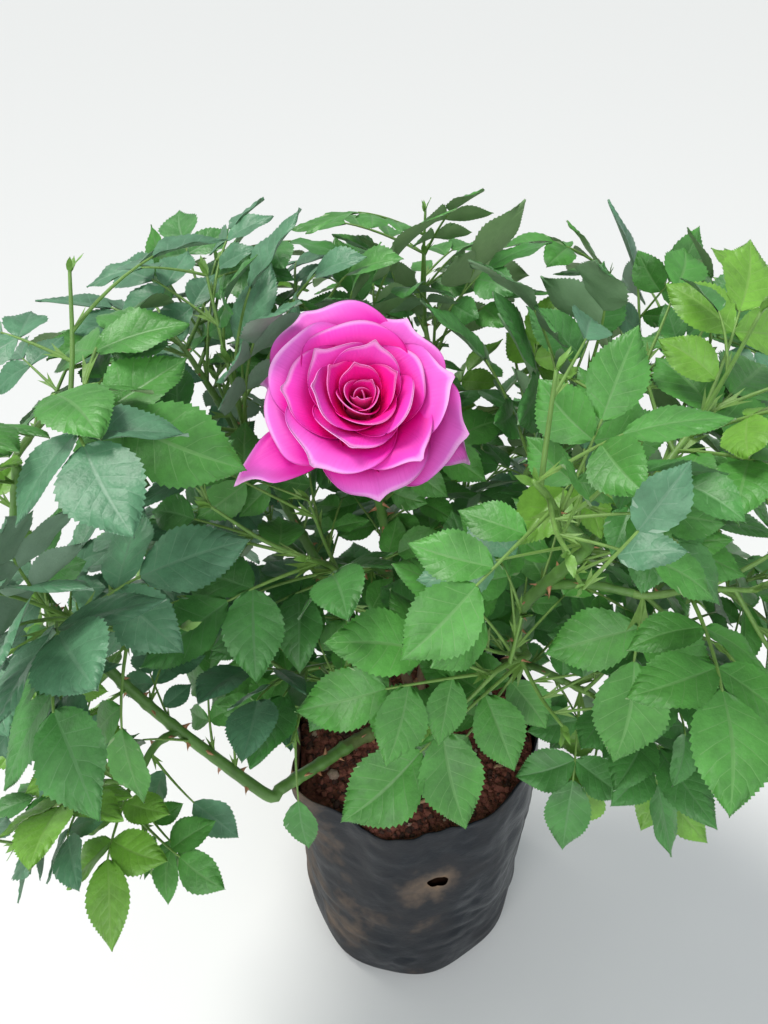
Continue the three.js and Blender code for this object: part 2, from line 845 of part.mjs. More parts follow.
// A leaf of the rule: its place on the stem, a heading and a size, drawn by the mass's own numbers.
function drawnLeaf(name, draw, index, turn) {
  const { rule, size } = MASSES[name];
  const t = lerp(0.2, 1, index / Math.max(1, rule - 1));
  const root = stems[name].getPointAt(t);
  const along = stems[name].getTangentAt(t);
  const across = new THREE.Vector3(0, 0, 1).cross(along).normalize();
  const above = new THREE.Vector3().crossVectors(along, across);
  const splay = degrees(lerp(20, 95, draw()));
  const length = size * lerp(0.88, 1.12, draw());
  const heading = along
    .clone()
    .multiplyScalar(Math.cos(splay))
    .addScaledVector(across, Math.sin(splay) * Math.cos(turn))
    .addScaledVector(above, Math.sin(splay) * Math.sin(turn));
  heading.z += 0.1;
  const stalk = length * STALK_SHARE * lerp(0.75, 1.1, draw());
  const tip = root.clone().addScaledVector(heading.normalize(), stalk);
  const lean = new THREE.Vector3(draw() - 0.5, draw() - 0.5, 0).multiplyScalar(0.5);
  return compoundLeaf(root, tip, length, lean);
}

// The leaves of every mass: first the aimed ones, then those of the rule, one for each mass in turn.
// Each place tries several headings and keeps the leaf with the most leaflets in the widest space.
function grownLeaves() {
  const names = Object.keys(MASSES);
  const grown = Object.fromEntries(names.map((name) => [name, []]));
  const taken = new TakenSpace();
  const centres = [];
  const centreOf = (l) => l.base.clone().addScaledVector(l.direction, l.length / 2);
  const keep = (name, leaf) => {
    grown[name].push(leaf);
    taken.add(stalkPoints(leaf.stalk), name);
    for (const l of leaf.leaflets) taken.add(bladePoints(l), name);
    centres.push(...leaf.leaflets.map(centreOf));
  };
  for (const name of names)
    for (const [t, tip, length] of MASSES[name].aimed) {
      const root = stems[name].getPointAt(t);
      const leaf = fitted(compoundLeaf(root, vector(tip), length, VIEWER_LEAN), name, taken);
      if (leaf) keep(name, leaf);
    }
  const draws = Object.fromEntries(names.map((name) => [name, seeded(MASSES[name].seed)]));
  const turned = Object.fromEntries(names.map((name) => [name, draws[name]() * 2 * Math.PI]));
  const most = Math.max(...names.map((name) => MASSES[name].rule));
  for (let i = 0; i < most; i++)
    for (const name of names.filter((n) => i < MASSES[n].rule)) {
      let best = null;
      let bestScore = 0;
      for (let k = 0; k < HEADINGS; k++) {
        const turn = turned[name] + i * degrees(137.5) + (2 * Math.PI * k) / HEADINGS;
        const leaf = fitted(drawnLeaf(name, draws[name], i, turn), name, taken);
        if (!leaf) continue;
        const middle = centreOf(leaf.leaflets[0]);
        const space = Math.min(WIDE_SPACE, ...centres.map((c) => c.distanceTo(middle)));
        const score = leaf.leaflets.length + (2.5 * space) / WIDE_SPACE;
        if (score > bestScore) {
          best = leaf;
          bestScore = score;
        }
      }
      if (best) keep(name, best);
    }
  return grown;
}

// A leaflet as a thin folded blade, its foot sunk in the stalk.
function leafletSolid({ base, direction, normal, length }) {
  const side = new THREE.Vector3().crossVectors(normal, direction);
  const at = (along, across, height) =>
    base
      .clone()
      .addScaledVector(direction, along * length - LEAFLET_SINK)
      .addScaledVector(side, across * LEAFLET_WIDTH * length)
      .addScaledVector(normal, height * length);
  const half = LEAFLET_THICKNESS / 2;
  const rim = LEAFLET_OUTLINE.length;
  const outline = LEAFLET_OUTLINE.map((place) => at(...place));
  const points = [...outline, at(LEAFLET_MIDDLE, 0, half), at(LEAFLET_MIDDLE, 0, -half)];
  const triangles = [];
  for (let i = 0; i < rim; i++) {
    const j = (i + 1) % rim;
    triangles.push([rim, i, j], [rim + 1, j, i]);
  }
  return solidOf(points, triangles);
}

// A leaf's stalk: three sides, thinnest where the end leaflet takes over at its point.
function stalkSolid([root, middle, tip]) {
  const control = middle.clone().multiplyScalar(2).sub(root.clone().lerp(tip, 0.5));
  const curve = new THREE.QuadraticBezierCurve3(root, control, tip);
  const rings = [0, STALK_BEND].map((t) => {
    const centre = curve.getPointAt(t);
    const along = curve.getTangentAt(t);
    const side = new THREE.Vector3(0, 0, 1).cross(along).normalize();
    const up = new THREE.Vector3().crossVectors(along, side);
    const r = lerp(STALK_RADIUS, STALK_TIP_RADIUS, t);
    return [0.25, 0.5833, 0.9167].map((turn) =>
      centre
        .clone()
        .addScaledVector(side, r * Math.cos(2 * Math.PI * turn))
        .addScaledVector(up, r * Math.sin(2 * Math.PI * turn)),
    );
  });
  return spikeSolid(rings, tip);
}

// A closed solid through rings of three points that ends in one point.
function spikeSolid(rings, tip) {
  const sides = rings[0].length;
  const points = [...rings.flat(), tip];
  const top = (rings.length - 1) * sides;
  const triangles = [[0, 2, 1]];
  for (let i = 0; i < sides; i++) {
    const j = (i + 1) % sides;
    triangles.push([top + i, top + j, points.length - 1]);
    for (let k = 0; k < rings.length - 1; k++) {
      const a = k * sides + i;
      const b = k * sides + j;
      triangles.push([a, b, b + sides], [a, b + sides, a + sides]);
    }
  }
  return solidOf(points, triangles);
}

// The stem of a mass with its leaves fused on. A leaf that would not fuse cleanly is left out.
function massSolid(name, leaves) {
  let solid = tubeSolid(stems[name], STEM_RADIUS, STEM_TIP_RADIUS, STEM_SIDES, STEM_STEPS);
  for (const leaf of leaves) {
    const pieces = [stalkSolid(leaf.stalk), ...leaf.leaflets.map(leafletSolid)];
    const grown = mainBody(pieces.reduce((whole, piece) => whole.add(piece), solid));
    if (grown) solid = grown;
  }
  return solid;
}

// The bloom: a short neck and calyx with rows of petals round it, fused

// A point of a petal: u runs across from -1 to 1, v from its foot at 0 to its rim at 1.
function petalPoint(row, spin, u, v, lift) {
  const bend = degrees(row.open) * Math.min(1, 0.35 + v) + degrees(row.curl) * v * v;
  const radius = 2.2 + row.length * v * Math.sin(bend) * 0.86 + 1.6 * u * (0.35 + v);
  const height = row.length * v * Math.cos(bend * 0.82) * (1 - 0.1 * u * u * v);
  const half = (row.width / 2) * Math.sin(Math.PI * (0.1 + 0.7 * v));
  const widest = (PETAL_OVERLAP * Math.PI) / row.count;
  const angle = spin + u * Math.min(widest, half / (radius * 0.9 + 1.5));
  const r = radius + lift;
  return new THREE.Vector3(r * Math.cos(angle), r * Math.sin(angle), height - lift * 0.4);
}

function petalSolid(row, spin) {
  const across = PETAL_FACES_ACROSS;
  const along = PETAL_FACES_ALONG;
  const points = [];
  for (const lift of [0, PETAL_THICKNESS])
    for (let j = 0; j <= along; j++)
      for (let i = 0; i <= across; i++)
        points.push(petalPoint(row, spin, (2 * i) / across - 1, lerp(0.06, 1, j / along), lift));
  const at = (layer, i, j) => layer * (across + 1) * (along + 1) + j * (across + 1) + i;
  const triangles = [];
  const quad = (a, b, c, d) => triangles.push([a, b, c], [a, c, d]);
  for (let j = 0; j < along; j++)
    for (let i = 0; i < across; i++) {
      quad(at(0, i, j), at(0, i + 1, j), at(0, i + 1, j + 1), at(0, i, j + 1));
      quad(at(1, i, j), at(1, i, j + 1), at(1, i + 1, j + 1), at(1, i + 1, j));
    }
  for (let i = 0; i < across; i++) {
    quad(at(0, i, 0), at(1, i, 0), at(1, i + 1, 0), at(0, i + 1, 0));
    quad(at(0, i + 1, along), at(1, i + 1, along), at(1, i, along), at(0, i, along));
  }
  for (let j = 0; j < along; j++) {
    quad(at(0, 0, j + 1), at(1, 0, j + 1), at(1, 0, j), at(0, 0, j));
    quad(at(0, across, j), at(1, across, j), at(1, across, j + 1), at(0, across, j + 1));
  }
  return solidOf(points, triangles);
}

function latheSolid(profile, sides) {
  const lathe = new THREE.LatheGeometry(profile.map(([r, z]) => new THREE.Vector2(r, z)), sides);
  lathe.rotateX(Math.PI / 2);
  return closedSolid(lathe);
}

function bloomSolid() {
  let solid = latheSolid(BLOOM_CORE, 9);
  for (const row of PETAL_ROWS)
    for (let i = 0; i < row.count; i++) {
      const spin = degrees(row.turn) + (2 * Math.PI * i) / row.count;
      solid = solid.add(petalSolid(row, spin));
    }
  const turn = new THREE.Matrix4().makeRotationFromQuaternion(
    new THREE.Quaternion().setFromUnitVectors(new THREE.Vector3(0, 0, 1), vector(BLOOM_AXIS).normalize()),
  );
  turn.setPosition(...BLOOM_SEAT);
  const seat = new THREE.Vector3(0, 0, -6).applyMatrix4(turn);
  const neck = curveThrough([...leadFrom(CANES.cane_bloom), array(seat)]);
  solid = solid.transform(turn.elements);
  return solid.add(tubeSolid(neck, CANES.cane_bloom.tip, 2.4, CANE_SIDES, 3));
}

// Assembly

const LOOKS = {
  film: { color: 0x23262b, roughness: 0.5 },
  soil: { color: 0x4a2a20, roughness: 0.95 },
  wood: { color: 0x6d5a3a, roughness: 0.85 },
  cane: { color: 0x4f7a34, roughness: 0.6 },
  leaf: { color: 0x3a8a3e, roughness: 0.55 },
  petal: { color: 0xe63fc0, roughness: 0.6 },
};

const rose = new THREE.Group();

function addMesh(name, solid, look) {
  const geometry = geometryOf(mainBody(solid));
  geometry.computeVertexNormals();
  const mesh = new THREE.Mesh(
    geometry,
    new THREE.MeshStandardMaterial({ ...LOOKS[look], metalness: 0 }),
  );
  mesh.name = name;
  rose.add(mesh);
}

addMesh("bag", bagSolid(), "film");
addMesh("soil", soilSolid(), "soil");
addMesh("trunk", trunkSolid(), "wood");
for (const [name, spec] of Object.entries(LIMBS)) {
  let solid = limb(spec);
  if (spec.from === "trunk") solid = solid.subtract(trunkSolid(CLEARANCE));
  else if (spec.from) solid = solid.subtract(limb(LIMBS[spec.from], CLEARANCE));
  addMesh(name, solid, "cane");
}
for (const [name, leaves] of Object.entries(grownLeaves()))
  addMesh(name, massSolid(name, leaves), "leaf");
addMesh("bloom", bloomSolid(), "petal");

export default rose;
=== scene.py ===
# A patio rose in its nursery bag. Sizes are in millimetres until a mesh is made, then in metres.
# Blades, stalks, twigs and limbs follow the rule that the solids follow, carried on to finer twigs.
import math
from itertools import product

import bpy
import numpy as np
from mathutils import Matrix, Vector


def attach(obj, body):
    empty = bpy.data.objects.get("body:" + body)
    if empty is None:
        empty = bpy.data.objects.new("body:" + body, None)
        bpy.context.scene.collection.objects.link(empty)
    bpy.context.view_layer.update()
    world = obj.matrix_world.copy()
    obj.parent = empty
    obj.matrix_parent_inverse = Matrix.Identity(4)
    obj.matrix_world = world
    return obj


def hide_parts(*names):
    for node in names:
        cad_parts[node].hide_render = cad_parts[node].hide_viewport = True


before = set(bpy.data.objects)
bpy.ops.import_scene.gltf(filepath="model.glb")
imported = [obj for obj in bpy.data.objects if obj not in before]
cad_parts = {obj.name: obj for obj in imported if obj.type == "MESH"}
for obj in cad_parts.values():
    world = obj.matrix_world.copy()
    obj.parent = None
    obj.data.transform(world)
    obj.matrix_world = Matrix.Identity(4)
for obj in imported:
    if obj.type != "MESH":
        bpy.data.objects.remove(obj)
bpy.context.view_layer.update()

MM = 0.001
UP = np.array([0.0, 0.0, 1.0])
FULL_TURN = 2 * math.pi
GOLDEN = math.radians(137.5)

# The bag and the soil
BAG_RADIUS = 55
BAG_FOOT_RADIUS = 49
BAG_FOOT_HEIGHT = 7
BAG_RIM_HEIGHT = 149
BAG_FILM = 0.9
BAG_BELLY = 1.6
BAG_NARROWING = 1.4
BAG_CREASES = [(3, 0.9, 1.1, 2), (8, 0.6, 0, 4)]
BAG_CORNER = math.radians(-143)
BAG_CORNER_WIDTH = 0.2
RIM_FRONT_DIP = 9
RIM_SLOPE = 5
RIM_SLOPE_TURN = 2.4
RIM_WAVES = 5
RIM_WAVE_HEIGHT = 2.2
DRAIN_ANGLES = [-80, 40, 160]
DRAIN_HEIGHT = 99
DRAIN_WIDTH = 8
DRAIN_TALL = 8.6
HOLE_EDGE = 0.26
SOIL_HEIGHT = 135
SOIL_LEVEL_RADIUS = 16
SOIL_HEAP = 1.6
SOIL_DROP = 1.2
TRUNK_ROOM = 9
STRAWS = 26
SOIL_SEED = 5
# Lumps on the soil: name, colour, count, least and greatest size, flatness, and how far they stand out
LUMPS = [
    ("soil_crumbs", (0.19, 0.06, 0.04), 2600, 0.35, 2.2, 0.8, 0.1),
    ("soil_dark_crumbs", (0.06, 0.025, 0.018), 1300, 0.4, 1.9, 0.8, 0.1),
    ("soil_pebbles", (0.34, 0.24, 0.18), 34, 0.8, 3.0, 0.7, 0.4),
]

# The trunk and the limbs
CLEARANCE = 0.3
LEAD = 5
TRUNK_RADIUS = 7.5
TRUNK_HEIGHT = 19
TRUNK_PROFILE = [(0, 1.4), (0.2, 1), (0.5, 0.86), (0.78, 1.02), (1, 0.62)]
TRUNK_LEAN = (0.8, 0.6)
ROOT_LOBES = 5
ROOT_LOBE_DEPTH = 0.12
WOOD_SHARE = 0.22
BARK_EDGE = 0.7
NODE_STEP = 13
# The rings of a prickle: how far out, how far along, its half width and its half length
PRICKLE_RINGS = [(-0.1, 0.1, 0.2, 0.52), (0.3, 0.02, 0.11, 0.24), (0.68, -0.12, 0.055, 0.1)]
PRICKLE_LEAST_HEIGHT = 143
CANE_PRICKLE_STEP = 6.5
BOUGH_PRICKLE_STEP = 10
STEM_PRICKLE_STEP = 16
BOUGH_RADIUS = 1.65
BOUGH_TIP_RADIUS = 1.35
BOUGH_ASLANT = 0.12
STEM_RADIUS = 1.25
STEM_TIP_RADIUS = 0.8
STEM_ARCH = 0.06

# The leaf rule, as shares of a leaf's end leaflet
STALK_SHARE = 1.35
LEAFLET_WIDTH = 0.66
PAIR_STEPS = [0.31, 0.84]
PAIR_LEAST_PLACE = 0.2
PAIR_SIZES = [0.86, 0.72]
PAIR_SPREADS = [1.13, 1.26]
REACH_CENTRE = np.array([-4.0, -8.0, 253.0])
REACH = np.array([170.0, 138.0, 106.0])
REACH_POWER = 3.2
LEAFLET_GAP = 5
OWN_GAP = 3.7
STALK_CLEAR = 1.2
BLADE_CLEAR = 1.6
STEM_CLEAR = 3
SHARED_SPACE = 12
BAG_CLEAR_RADIUS = 64
BAG_CLEAR_HEIGHT = 163
WIDE_SPACE = 40
HEADINGS = 24
VIEWER_LEAN = np.array([0, -0.25, 0])

# The stage: half the floor's width in metres, and the camera of the photograph
FLOOR = 40.0
CAMERA = np.array([-14.0, -211.0, 434.0])
CAMERA_TILT = math.radians(51)
CAMERA_LENS = 27.04

# What the photograph shows in front: limbs, with the stretch of each that shows
SHOWN_LIMBS = {
    "cane_left_foot": (0.3, 1),
    "cane_left": (0, 0.45),
    "cane_right": (0.75, 1),
    "bough_front": (0.1, 1),
}
BEFORE_AIMED = "cane_right"
SHOWN_SPREAD = math.cos(math.radians(1.3))
VIEWER_TURNS = [2.4, 1.4, 0.8]
NEIGHBOURHOOD = 95

# The finer twigs and leaves that only this model has
FINE_GAP = 2.5
FINE_STALK_CLEAR = 0.6
FINE_BLADE_CLEAR = 0.9
TWIG_CLEAR = 1.5
FINE_LEAN = np.array([0, -0.3, 0])
FINE_HEADINGS = 9
FINE_TWIGS = 4
FINE_TWIG_HEADINGS = 8
FINE_TWIG_LENGTH = 36
FINE_TWIG_RADIUS = 0.8
FINE_TWIG_TIP_RADIUS = 0.5
FINE_TWIG_LEAVES = 4
FINE_LEAF = 0.72
CANE_LEAF_STEP = 11
CANE_LEAF = 22
CANE_LEAF_LEAST_HEIGHT = 158
TWIG_SEED = 500
CANE_LEAF_SEED = 900
FIRST_TWIG_OWNER = 100
FIRST_LIMB_OWNER = 1000

# The tints: the side of x whose leaves are bluer and greyer, partly their own tone and partly painted sky
# sheen, and how often a spray changes its tint
LEFT_SIDE = -30
TINT_CHANGE = 0.35
FOLIAGE_SEED = 4242

# A blade, as shares of its length
HALF_WIDTH = 0.33
SLANT = 0.31
NOTCH = -0.011
TOOTH = 0.017
TOOTH_LEAN = 0.8
VEIN_BAND = 0.2
VEIN_RELIEF = 0.021
BLADE_THICKNESS = 0.02
# How each blade is bent, from least to most: fold, droop, width, wave, the wave's phase, twist, bend
BLADE_BENDS = np.array(
    [(0.1, 0.42), (0.03, 0.24), (0.92, 1.06), (0, 0.026), (0, FULL_TURN), (-0.25, 0.25), (-0.05, 0.05)]
)

# The bloom
BLOOM_SEAT = np.array([-20.5, -12.0, 303.0])
BLOOM_AXIS = np.array([0.06, -0.5, 0.86])
BLOOM_FACING = np.array([0.05, -0.56, 0.83])
PETAL_SEAT = BLOOM_SEAT + [-0.8, 1.4, 3.3]
HIP_SEAT = PETAL_SEAT - UP * 1.5
BLOOM_CLEAR = 37
BLOOM_VIEW = np.array([3.0, -102.0, 64.0])
BLOOM_VIEW_CLEAR = 31
PETALS = 31
FIRST_MIDDLE_PETAL = 11
FIRST_OUTER_PETAL = 20
PETAL_GRID = 27
PETAL_THICKNESS = 0.28
PETAL_SEED = 77
# The pointed petals behind the others: number, heading in degrees and share of the full length
BEHIND = {28: (160, 0.95), 29: (212, 1.1), 30: (-20, 1.02)}
SEPALS = 5
HIP_PROFILE = [(-11, 1.8), (-9, 2.9), (-6, 4.1), (-3.5, 4.0), (-1.5, 3.3), (0, 3.6), (1.5, 4.2)]

CANES = {
    "cane_left_foot": dict(
        radius=3.0, tip=2.5, points=[(-3, -2, 144), (-22, -11, 146), (-40, -27, 150), (-56, -41, 153)]
    ),
    "cane_left": dict(
        follows="cane_left_foot",
        radius=2.4,
        tip=1.6,
        points=[(-79, -37, 167), (-105, -28, 191), (-128, -21, 226), (-136, -19, 262), (-128, -17, 294)],
    ),
    "cane_right": dict(
        radius=2.8,
        tip=2.0,
        points=[(3, -1, 147), (27, -6, 174), (37, -14, 205), (34, -23, 238), (45, -39, 278)],
    ),
    "cane_bloom": dict(
        radius=2.4,
        tip=1.6,
        points=[(0, 1, 151), (-5, 7, 169), (-11, 15, 206), (-14, 10, 248), (-18.5, -4, 287)],
    ),
    "cane_back_left": dict(
        radius=2.5,
        tip=1.6,
        points=[(-4, 1, 147), (-15, 5, 166), (-33, 13, 205), (-53, 20, 254), (-73, 27, 292)],
    ),
    "cane_back": dict(
        radius=2.5, tip=1.6, points=[(1, 3, 147), (7, 26, 192), (9, 50, 243), (6, 64, 278)]
    ),
    "cane_back_right": dict(
        radius=2.5, tip=1.6, points=[(3, 2, 148), (27, 15, 193), (48, 31, 243), (63, 42, 278)]
    ),
}

# The boughs: the cane, the share of its length where each leaves it, and the bough's own tip.
BOUGHS = {
    "bough_left_low": ("cane_left", 0.28, (-104, -50, 181)),
    "bough_left_middle": ("cane_left", 0.66, (-122, -39, 249)),
    "bough_front": ("cane_right", 0.52, (35, -35, 229)),
    "bough_right_low": ("cane_right", 0.41, (54, -24, 200)),
    "bough_right": ("cane_right", 0.84, (61, -45, 268)),
    "bough_right_top": ("cane_right", 0.91, (64, -31, 300)),
    "bough_middle": ("cane_bloom", 0.5, (-25, -8, 240)),
    "bough_inner_left": ("cane_bloom", 0.25, (-31, -9, 195)),
    "bough_bloom_left": ("cane_back_left", 0.73, (-59, 9, 279)),
    "bough_back_left_low": ("cane_back_left", 0.43, (-57, 38, 218)),
    "bough_back_low": ("cane_back", 0.47, (20, 63, 212)),
    "bough_top": ("cane_back", 0.79, (-9, 45, 276)),
    "bough_back_right_low": ("cane_back_right", 0.44, (63, 31, 210)),
    "bough_bloom_right": ("cane_back_right", 0.71, (39, 15, 268)),
}

# The masses: the limb, the stem's end, the seed, how many leaves the rule adds, their size, and the
# aimed leaves of the photograph (place on the stem, tip of the stalk, length of the end leaflet).
MASSES = {
    "leaves_front": (
        "bough_front", (20, -52, 238), 11, 4, 29,
        [(0.15, (-3, -69, 220), 36), (0.9, (-14, -64, 246), 29)],
    ),
    "leaves_right_low": (
        "bough_right_low", (72, -38, 199), 12, 4, 27,
        [(0.3, (54, -57, 184), 27)],
    ),
    "leaves_right": (
        "bough_right", (94, -50, 274), 13, 4, 30,
        [(0.1, (60, -62, 256), 34), (0.95, (128, -52, 280), 30)],
    ),
    "leaves_right_top": (
        "bough_right_top", (82, -16, 314), 14, 5, 30,
        [(0.3, (90, -10, 317), 35), (0.8, (110, -32, 306), 30)],
    ),
    "leaves_fork": ("bough_right_fork", (23, -60, 321), 15, 4, 25, [(0.4, (8, -78, 303), 26)]),
    "leaves_bloom_right": ("bough_bloom_right", (54, 18, 306), 16, 4, 30, [(0.25, (33, 3, 318), 34)]),
    "leaves_middle": (
        "bough_middle", (-38, -30, 268), 17, 5, 30,
        [(0.75, (-63, -43, 262), 34), (0.6, (-30, -60, 256), 32), (0.2, (-52, -22, 240), 32)],
    ),
    "leaves_left_top": (
        "cane_left", (-98, -22, 325), 18, 5, 31,
        [(0.7, (-84, -33, 321), 35), (1, (-95, -2, 334), 32)],
    ),
    "leaves_left_middle": ("bough_left_middle", (-104, -54, 266), 19, 6, 31, [(0.9, (-84, -50, 280), 33)]),
    "leaves_left_low": (
        "bough_left_low", (-124, -58, 184), 42, 5, 29,
        [(0.2, (-97, -66, 166), 30), (0.9, (-146, -56, 176), 32)],
    ),
    "leaves_inner_left": ("bough_inner_left", (-52, -28, 206), 21, 5, 27, [(0.6, (-50, -40, 211), 31)]),
    "leaves_bloom_left": ("bough_bloom_left", (-64, 10, 316), 22, 5, 30, []),
    "leaves_back_left": ("cane_back_left", (-94, 50, 310), 23, 6, 30, []),
    "leaves_back": ("cane_back", (0, 88, 306), 24, 6, 30, []),
    "leaves_back_right": ("cane_back_right", (92, 54, 305), 25, 6, 30, []),
    "leaves_back_low": ("bough_back_low", (26, 92, 220), 26, 4, 30, []),
    "leaves_back_left_low": ("bough_back_left_low", (-92, 56, 226), 27, 5, 30, []),
    "leaves_back_right_low": ("bough_back_right_low", (98, 40, 222), 28, 5, 30, []),
    "leaves_top": ("bough_top", (-22, 46, 306), 31, 5, 30, []),
}

# Numbers and vectors


def seeded(seed):
    """Random numbers from 0 to 1 that come out the same for the same seed."""
    low = 0xFFFFFFFF
    state = seed & low

    def draw():
        nonlocal state
        state = (state + 0x6D2B79F5) & low
        t = ((state ^ (state >> 15)) * (1 | state)) & low
        t = ((t + ((t ^ (t >> 7)) * (61 | t) & low)) & low) ^ t
        return ((t ^ (t >> 14)) & low) / 4294967296

    return draw


def lerp(a, b, t):
    return a + (b - a) * t


def far(v):
    """The length of each vector."""
    return np.linalg.norm(v, axis=-1)


def unit(v):
    return v / np.maximum(far(v)[..., None], 1e-12)


def ease(x):
    x = np.clip(x, 0, 1)
    return x * x * (3 - 2 * x)


def stacked(*parts):
    """Arrays that fit together, stacked as the coordinates of points."""
    return np.stack(np.broadcast_arrays(*parts), -1).astype(float)


def steps(count):
    """Numbers from 0 to 1 in equal steps."""
    return np.linspace(0, 1, count)


def circle(count):
    """Angles that go once round in equal steps."""
    return FULL_TURN * np.arange(count) / count


def spun(x, y, turn):
    """Flat coordinates turned round the origin."""
    return x * np.cos(turn) - y * np.sin(turn), x * np.sin(turn) + y * np.cos(turn)


def square_to(along, turn, up=UP):
    """A direction square to another one, turned round it."""
    across = unit(np.cross(up, along))
    return across * math.cos(turn) + np.cross(along, across) * math.sin(turn)


def arched(root, arch, tip, t):
    """Points of the curve from root to tip that bends towards arch."""
    return root * (1 - t) ** 2 + arch * 2 * t * (1 - t) + tip * t * t


def noise(points, size, seed=0):
    """Smooth noise from -1 to 1 at points of any shape (..., 3)."""
    place = np.asarray(points, float) / size + seed * 17.31
    cell = np.floor(place)
    share = ease(place - cell)
    total = np.zeros(place.shape[:-1])
    for corner in product((0, 1), repeat=3):
        rough = np.sin((cell + corner) @ np.array([127.1, 311.7, 74.7])) * 43758.5453
        weight = np.where(corner, share, 1 - share).prod(-1)
        total += weight * (rough - np.floor(rough))
    return 2 * total - 1


class Curve:
    """A Catmull-Rom curve through points, read by share of its length."""

    def __init__(self, points):
        p = np.array(points, float)
        self.knots = np.vstack([2 * p[0] - p[1], p, 2 * p[-1] - p[-2]])
        self.places = steps(201)
        gaps = far(np.diff(self.point(self.places), axis=0))
        self.lengths = np.concatenate([[0], np.cumsum(gaps)])
        self.length = self.lengths[-1]

    def point(self, t):
        t = np.asarray(t, float)
        stretches = len(self.knots) - 3
        place = np.clip(t, 0, 1) * stretches
        i = np.minimum(place.astype(int), stretches - 1)
        w = (place - i)[..., None]
        a, b, c, d = (self.knots[i + k] for k in range(4))
        m0 = 0.5 * (c - a)
        m1 = 0.5 * (d - b)
        return b + m0 * w + (3 * (c - b) - 2 * m0 - m1) * w**2 + (2 * (b - c) + m0 + m1) * w**3

    def place(self, share):
        return np.interp(np.asarray(share) * self.length, self.lengths, self.places)

    def at(self, share):
        return self.point(self.place(share))

    def tangent(self, share):
        t = self.place(share)
        return unit(self.point(np.minimum(t + 1e-4, 1)) - self.point(np.maximum(t - 1e-4, 0)))

    def splayed(self, share, turn, splay):
        """A direction that leaves the curve at an angle, turned round it."""
        along = self.tangent(share)
        return along * math.cos(splay) + square_to(along, turn) * math.sin(splay)


# The limbs and the stems


def lead_from(spec):
    curve = limb_curve(spec)
    tip = curve.at(1)
    return [tip + curve.tangent(1) * d for d in (CLEARANCE, LEAD)]


def limb_curve(spec):
    lead = lead_from(CANES[spec["follows"]]) if "follows" in spec else []
    return Curve([*lead, *spec["points"]])


def bough_spec(cane, at, tip):
    curve = limb_curve(CANES[cane])
    root = curve.at(at)
    tip = np.array(tip, float)
    middle = lerp(root, tip, 0.45) + curve.tangent(at) * BOUGH_ASLANT * far(root - tip)
    return dict(radius=BOUGH_RADIUS, tip=BOUGH_TIP_RADIUS, points=[root, middle, tip])


LIMBS = dict(CANES)
LIMBS["bough_right_fork"] = dict(
    follows="cane_right", radius=1.8, tip=BOUGH_TIP_RADIUS, points=[(43, -46, 290), (36, -50, 299)]
)
for bough, row in BOUGHS.items():
    LIMBS[bough] = bough_spec(*row)


def stem_curve(limb, end):
    start, lead = lead_from(LIMBS[limb])
    end = np.array(end, float)
    middle = lerp(lead, end, 0.5) + UP * STEM_ARCH * far(lead - end)
    return Curve([start, lead, middle, end])


LIMB_CURVES = {name: limb_curve(spec) for name, spec in LIMBS.items()}
STEMS = {name: stem_curve(row[0], row[1]) for name, row in MASSES.items()}

# The leaf rule


def compound_leaf(root, tip, size, lean):
    """A stalk that arches from root to tip, with a leaflet at its end and two pairs beside it."""
    chord = far(tip - root)
    outward = unit(np.array([tip[0], tip[1], 0.0]))
    light = unit(UP + outward * 0.4 + lean)
    arch = lerp(root, tip, 0.55) + light * 0.1 * chord

    def leaflet(t, turn, share):
        ahead = unit(arched(root, arch, tip, t + 0.02) - arched(root, arch, tip, t - 0.02))
        up = unit(light - ahead * (light @ ahead))
        side = np.cross(up, ahead)
        direction = unit(ahead * math.cos(turn) + side * math.sin(turn) - up * 0.16)
        normal = unit(up - direction * (up @ direction))
        return arched(root, arch, tip, t), direction, normal, size * share

    leaflets = [leaflet(0.97, 0, 1)]
    for step, spread, share in zip(PAIR_STEPS, PAIR_SPREADS, PAIR_SIZES):
        place = 1 - step * size / chord
        if place >= PAIR_LEAST_PLACE:
            leaflets += [leaflet(place, spread, share), leaflet(place, -spread, share)]
    return dict(root=root, arch=arch, tip=tip, light=light, leaflets=leaflets, size=size)


def blade_points(leaflet):
    base, direction, normal, length = leaflet
    side = np.cross(normal, direction)
    along = np.arange(1, 9)[:, None] / 8
    half = 0.5 * LEAFLET_WIDTH * length * np.sin(math.pi * along**0.8) * 1.05
    across = np.arange(-2, 3)[None, :]
    points = (
        base
        + (along * length + 0 * across)[..., None] * direction
        + (half * across / 2)[..., None] * side
        + (np.abs(across) * 0.1 * half - 0.1 * along**2 * length)[..., None] * normal
    )
    return points.reshape(-1, 3)


def stalk_points(leaf):
    middle = 0.25 * leaf["root"] + 0.5 * leaf["arch"] + 0.25 * leaf["tip"]
    t = np.array([0.25, 0.4, 0.55, 0.7, 0.85, 1])[:, None]
    return np.where(t < 0.5, lerp(leaf["root"], middle, 2 * t), lerp(middle, leaf["tip"], 2 * t - 1))


class Segments:
    """Short straight stretches, for distances from many points at once."""

    def __init__(self, lines, radii=None):
        self.a = np.vstack([line[:-1] for line in lines])
        self.b = np.vstack([line[1:] for line in lines])
        counts = [len(line) - 1 for line in lines]
        self.radii = np.repeat(radii if radii is not None else np.zeros(len(lines)), counts)

    def distances(self, points):
        ab = self.b - self.a
        ap = points[:, None] - self.a
        t = np.clip((ap * ab).sum(-1) / np.maximum((ab * ab).sum(-1), 1e-9), 0, 1)
        return far(ap - t[..., None] * ab)


def skeleton_lines(name):
    lines = [STEMS[name].point(steps(7))]
    for t, tip, length in MASSES[name][5]:
        root = STEMS[name].at(t)
        tip = np.array(tip, float)
        lines.append(np.array([root, tip + unit(tip - root) * length]))
    return lines


